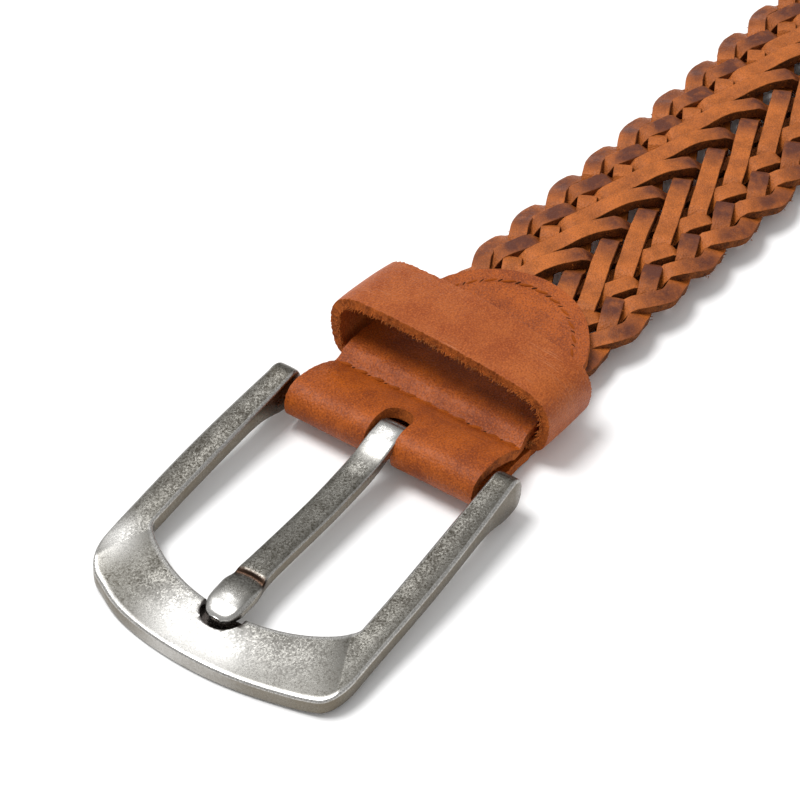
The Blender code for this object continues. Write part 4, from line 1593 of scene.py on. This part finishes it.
def build_studio(settings):
    studio = settings.studio
    back = Vector((
        math.sin(studio.azimuth) * math.cos(studio.elevation),
        -math.cos(studio.azimuth) * math.cos(studio.elevation),
        math.sin(studio.elevation),
    ))
    lens = bpy.data.cameras.new("photo_camera")
    lens.lens = studio.focal_length
    lens.sensor_width = 36.0
    lens.clip_start = 0.01
    lens.clip_end = 50.0
    camera = link_new("photo_camera", lens)
    camera.location = Vector(studio.aim) + back * studio.distance
    camera.rotation_euler = back.to_track_quat("Z", "Y").to_euler()
    bpy.context.scene.camera = camera

    bm = bmesh.new()
    bmesh.ops.create_grid(bm, x_segments=1, y_segments=1, size=6.0)
    bmesh.ops.translate(bm, verts=bm.verts, vec=(0.4, 0.0, -0.0003))
    floor = link_new("floor", mesh_of("floor", bm))
    material, tree, shader, _ = start_material("pale_floor")
    wire(tree, shader, {"Base Color": (0.93, 0.93, 0.93), "Roughness": 0.9, "Specular IOR Level": 0.1})
    floor.data.materials.append(material)

    world = bpy.data.worlds.new("studio_light")
    world.use_nodes = True
    background = world.node_tree.nodes["Background"]
    wire(world.node_tree, background, {"Color": (1.0, 1.0, 1.0), "Strength": studio.world_light})
    bpy.context.scene.world = world
    bpy.context.scene.view_settings.view_transform = "Standard"

    panels = (
        # name, power, size, direction, distance
        ("key_panel", studio.key_light, 0.6, Vector((-0.2, 0.5, 1.4)), 1.3),
        ("back_panel", studio.back_light, 0.22, Vector((0.376, 0.428, 0.823)), 1.4),
    )
    for name, power, size, direction, distance in panels:
        light = bpy.data.lights.new(name, "AREA")
        light.shape = "DISK"
        light.size = size
        light.energy = power
        lamp = link_new(name, light)
        lamp.location = Vector((-0.01, 0.0, 0.0)) + direction.normalized() * distance
        lamp.rotation_euler = direction.to_track_quat("Z", "Y").to_euler()


# Operators


def settings_of(context):
    return context.scene.braided_belt


class BELT_OT_frame(bpy.types.Operator):
    """Build the buckle frame's casting with its notch and its bar"""
    bl_idname = "belt.frame"
    bl_label = "Buckle frame"

    def execute(self, context):
        build_frame_casting(settings_of(context))
        return {"FINISHED"}


class BELT_OT_prong(bpy.types.Operator):
    """Build the prong with its hook and its stepped end"""
    bl_idname = "belt.prong"
    bl_label = "Prong"

    def execute(self, context):
        build_prong_piece(settings_of(context))
        return {"FINISHED"}


class BELT_OT_tab(bpy.types.Operator):
    """Build the folded tab with its slot, crease and half-moon end"""
    bl_idname = "belt.tab"
    bl_label = "Tab"

    def execute(self, context):
        build_tab_piece(settings_of(context))
        return {"FINISHED"}


class BELT_OT_keeper(bpy.types.Operator):
    """Build the keeper's loop and the fibres of its raw edges"""
    bl_idname = "belt.keeper"
    bl_label = "Keeper"

    def execute(self, context):
        build_keeper_piece(settings_of(context))
        build_keeper_fibres(settings_of(context))
        return {"FINISHED"}


class BELT_OT_braid(bpy.types.Operator):
    """Build the braid's flat strands, each woven over and under the others"""
    bl_idname = "belt.braid"
    bl_label = "Braid"

    def execute(self, context):
        for strand in range(STRANDS):
            build_strand(settings_of(context), strand)
        build_braid_fibres(settings_of(context))
        return {"FINISHED"}


class BELT_OT_tip(bpy.types.Operator):
    """Build the two leather layers of the belt's tip"""
    bl_idname = "belt.tip"
    bl_label = "Tip"

    def execute(self, context):
        build_tip_pieces(settings_of(context))
        return {"FINISHED"}


class BELT_OT_stitches(bpy.types.Operator):
    """Build the stitch rows of the tab and the tip"""
    bl_idname = "belt.stitches"
    bl_label = "Stitches"

    def execute(self, context):
        build_stitch_rows(settings_of(context))
        return {"FINISHED"}


class BELT_OT_studio(bpy.types.Operator):
    """Build the floor, the lights and the camera"""
    bl_idname = "belt.studio"
    bl_label = "Studio"

    def execute(self, context):
        build_studio(settings_of(context))
        return {"FINISHED"}


OPERATORS = (
    BELT_OT_studio,
    BELT_OT_frame,
    BELT_OT_prong,
    BELT_OT_tab,
    BELT_OT_keeper,
    BELT_OT_braid,
    BELT_OT_tip,
    BELT_OT_stitches,
)


class BELT_PT_panel(bpy.types.Panel):
    """Lists the belt's pieces"""
    bl_idname = "BELT_PT_panel"
    bl_label = "Braided belt"
    bl_space_type = "VIEW_3D"
    bl_region_type = "UI"
    bl_category = "Braided belt"

    def draw(self, context):
        settings = settings_of(context)
        for group in (settings.buckle, settings.leather, settings.braid, settings.studio):
            box = self.layout.box()
            for name in group.bl_rna.properties.keys():
                if name not in ("rna_type", "name"):
                    box.prop(group, name)
        for operator in OPERATORS:
            self.layout.operator(operator.bl_idname)


CLASSES = (
    BuckleSettings,
    LeatherSettings,
    BraidSettings,
    StudioSettings,
    BeltSettings,
    *OPERATORS,
    BELT_PT_panel,
)


def register():
    for item in CLASSES:
        bpy.utils.register_class(item)
    bpy.types.Scene.braided_belt = PointerProperty(
        type=BeltSettings, name="Braided belt", description="Sizes and colours of the belt")


def unregister():
    del bpy.types.Scene.braided_belt
    for item in reversed(CLASSES):
        bpy.utils.unregister_class(item)


def main():
    register()
    bpy.ops.belt.studio()
    bpy.ops.belt.frame()
    bpy.ops.belt.prong()
    bpy.ops.belt.tab()
    bpy.ops.belt.keeper()
    bpy.ops.belt.braid()
    bpy.ops.belt.tip()
    bpy.ops.belt.stitches()
    bpy.context.view_layer.update()


if __name__ == "__main__":
    main()
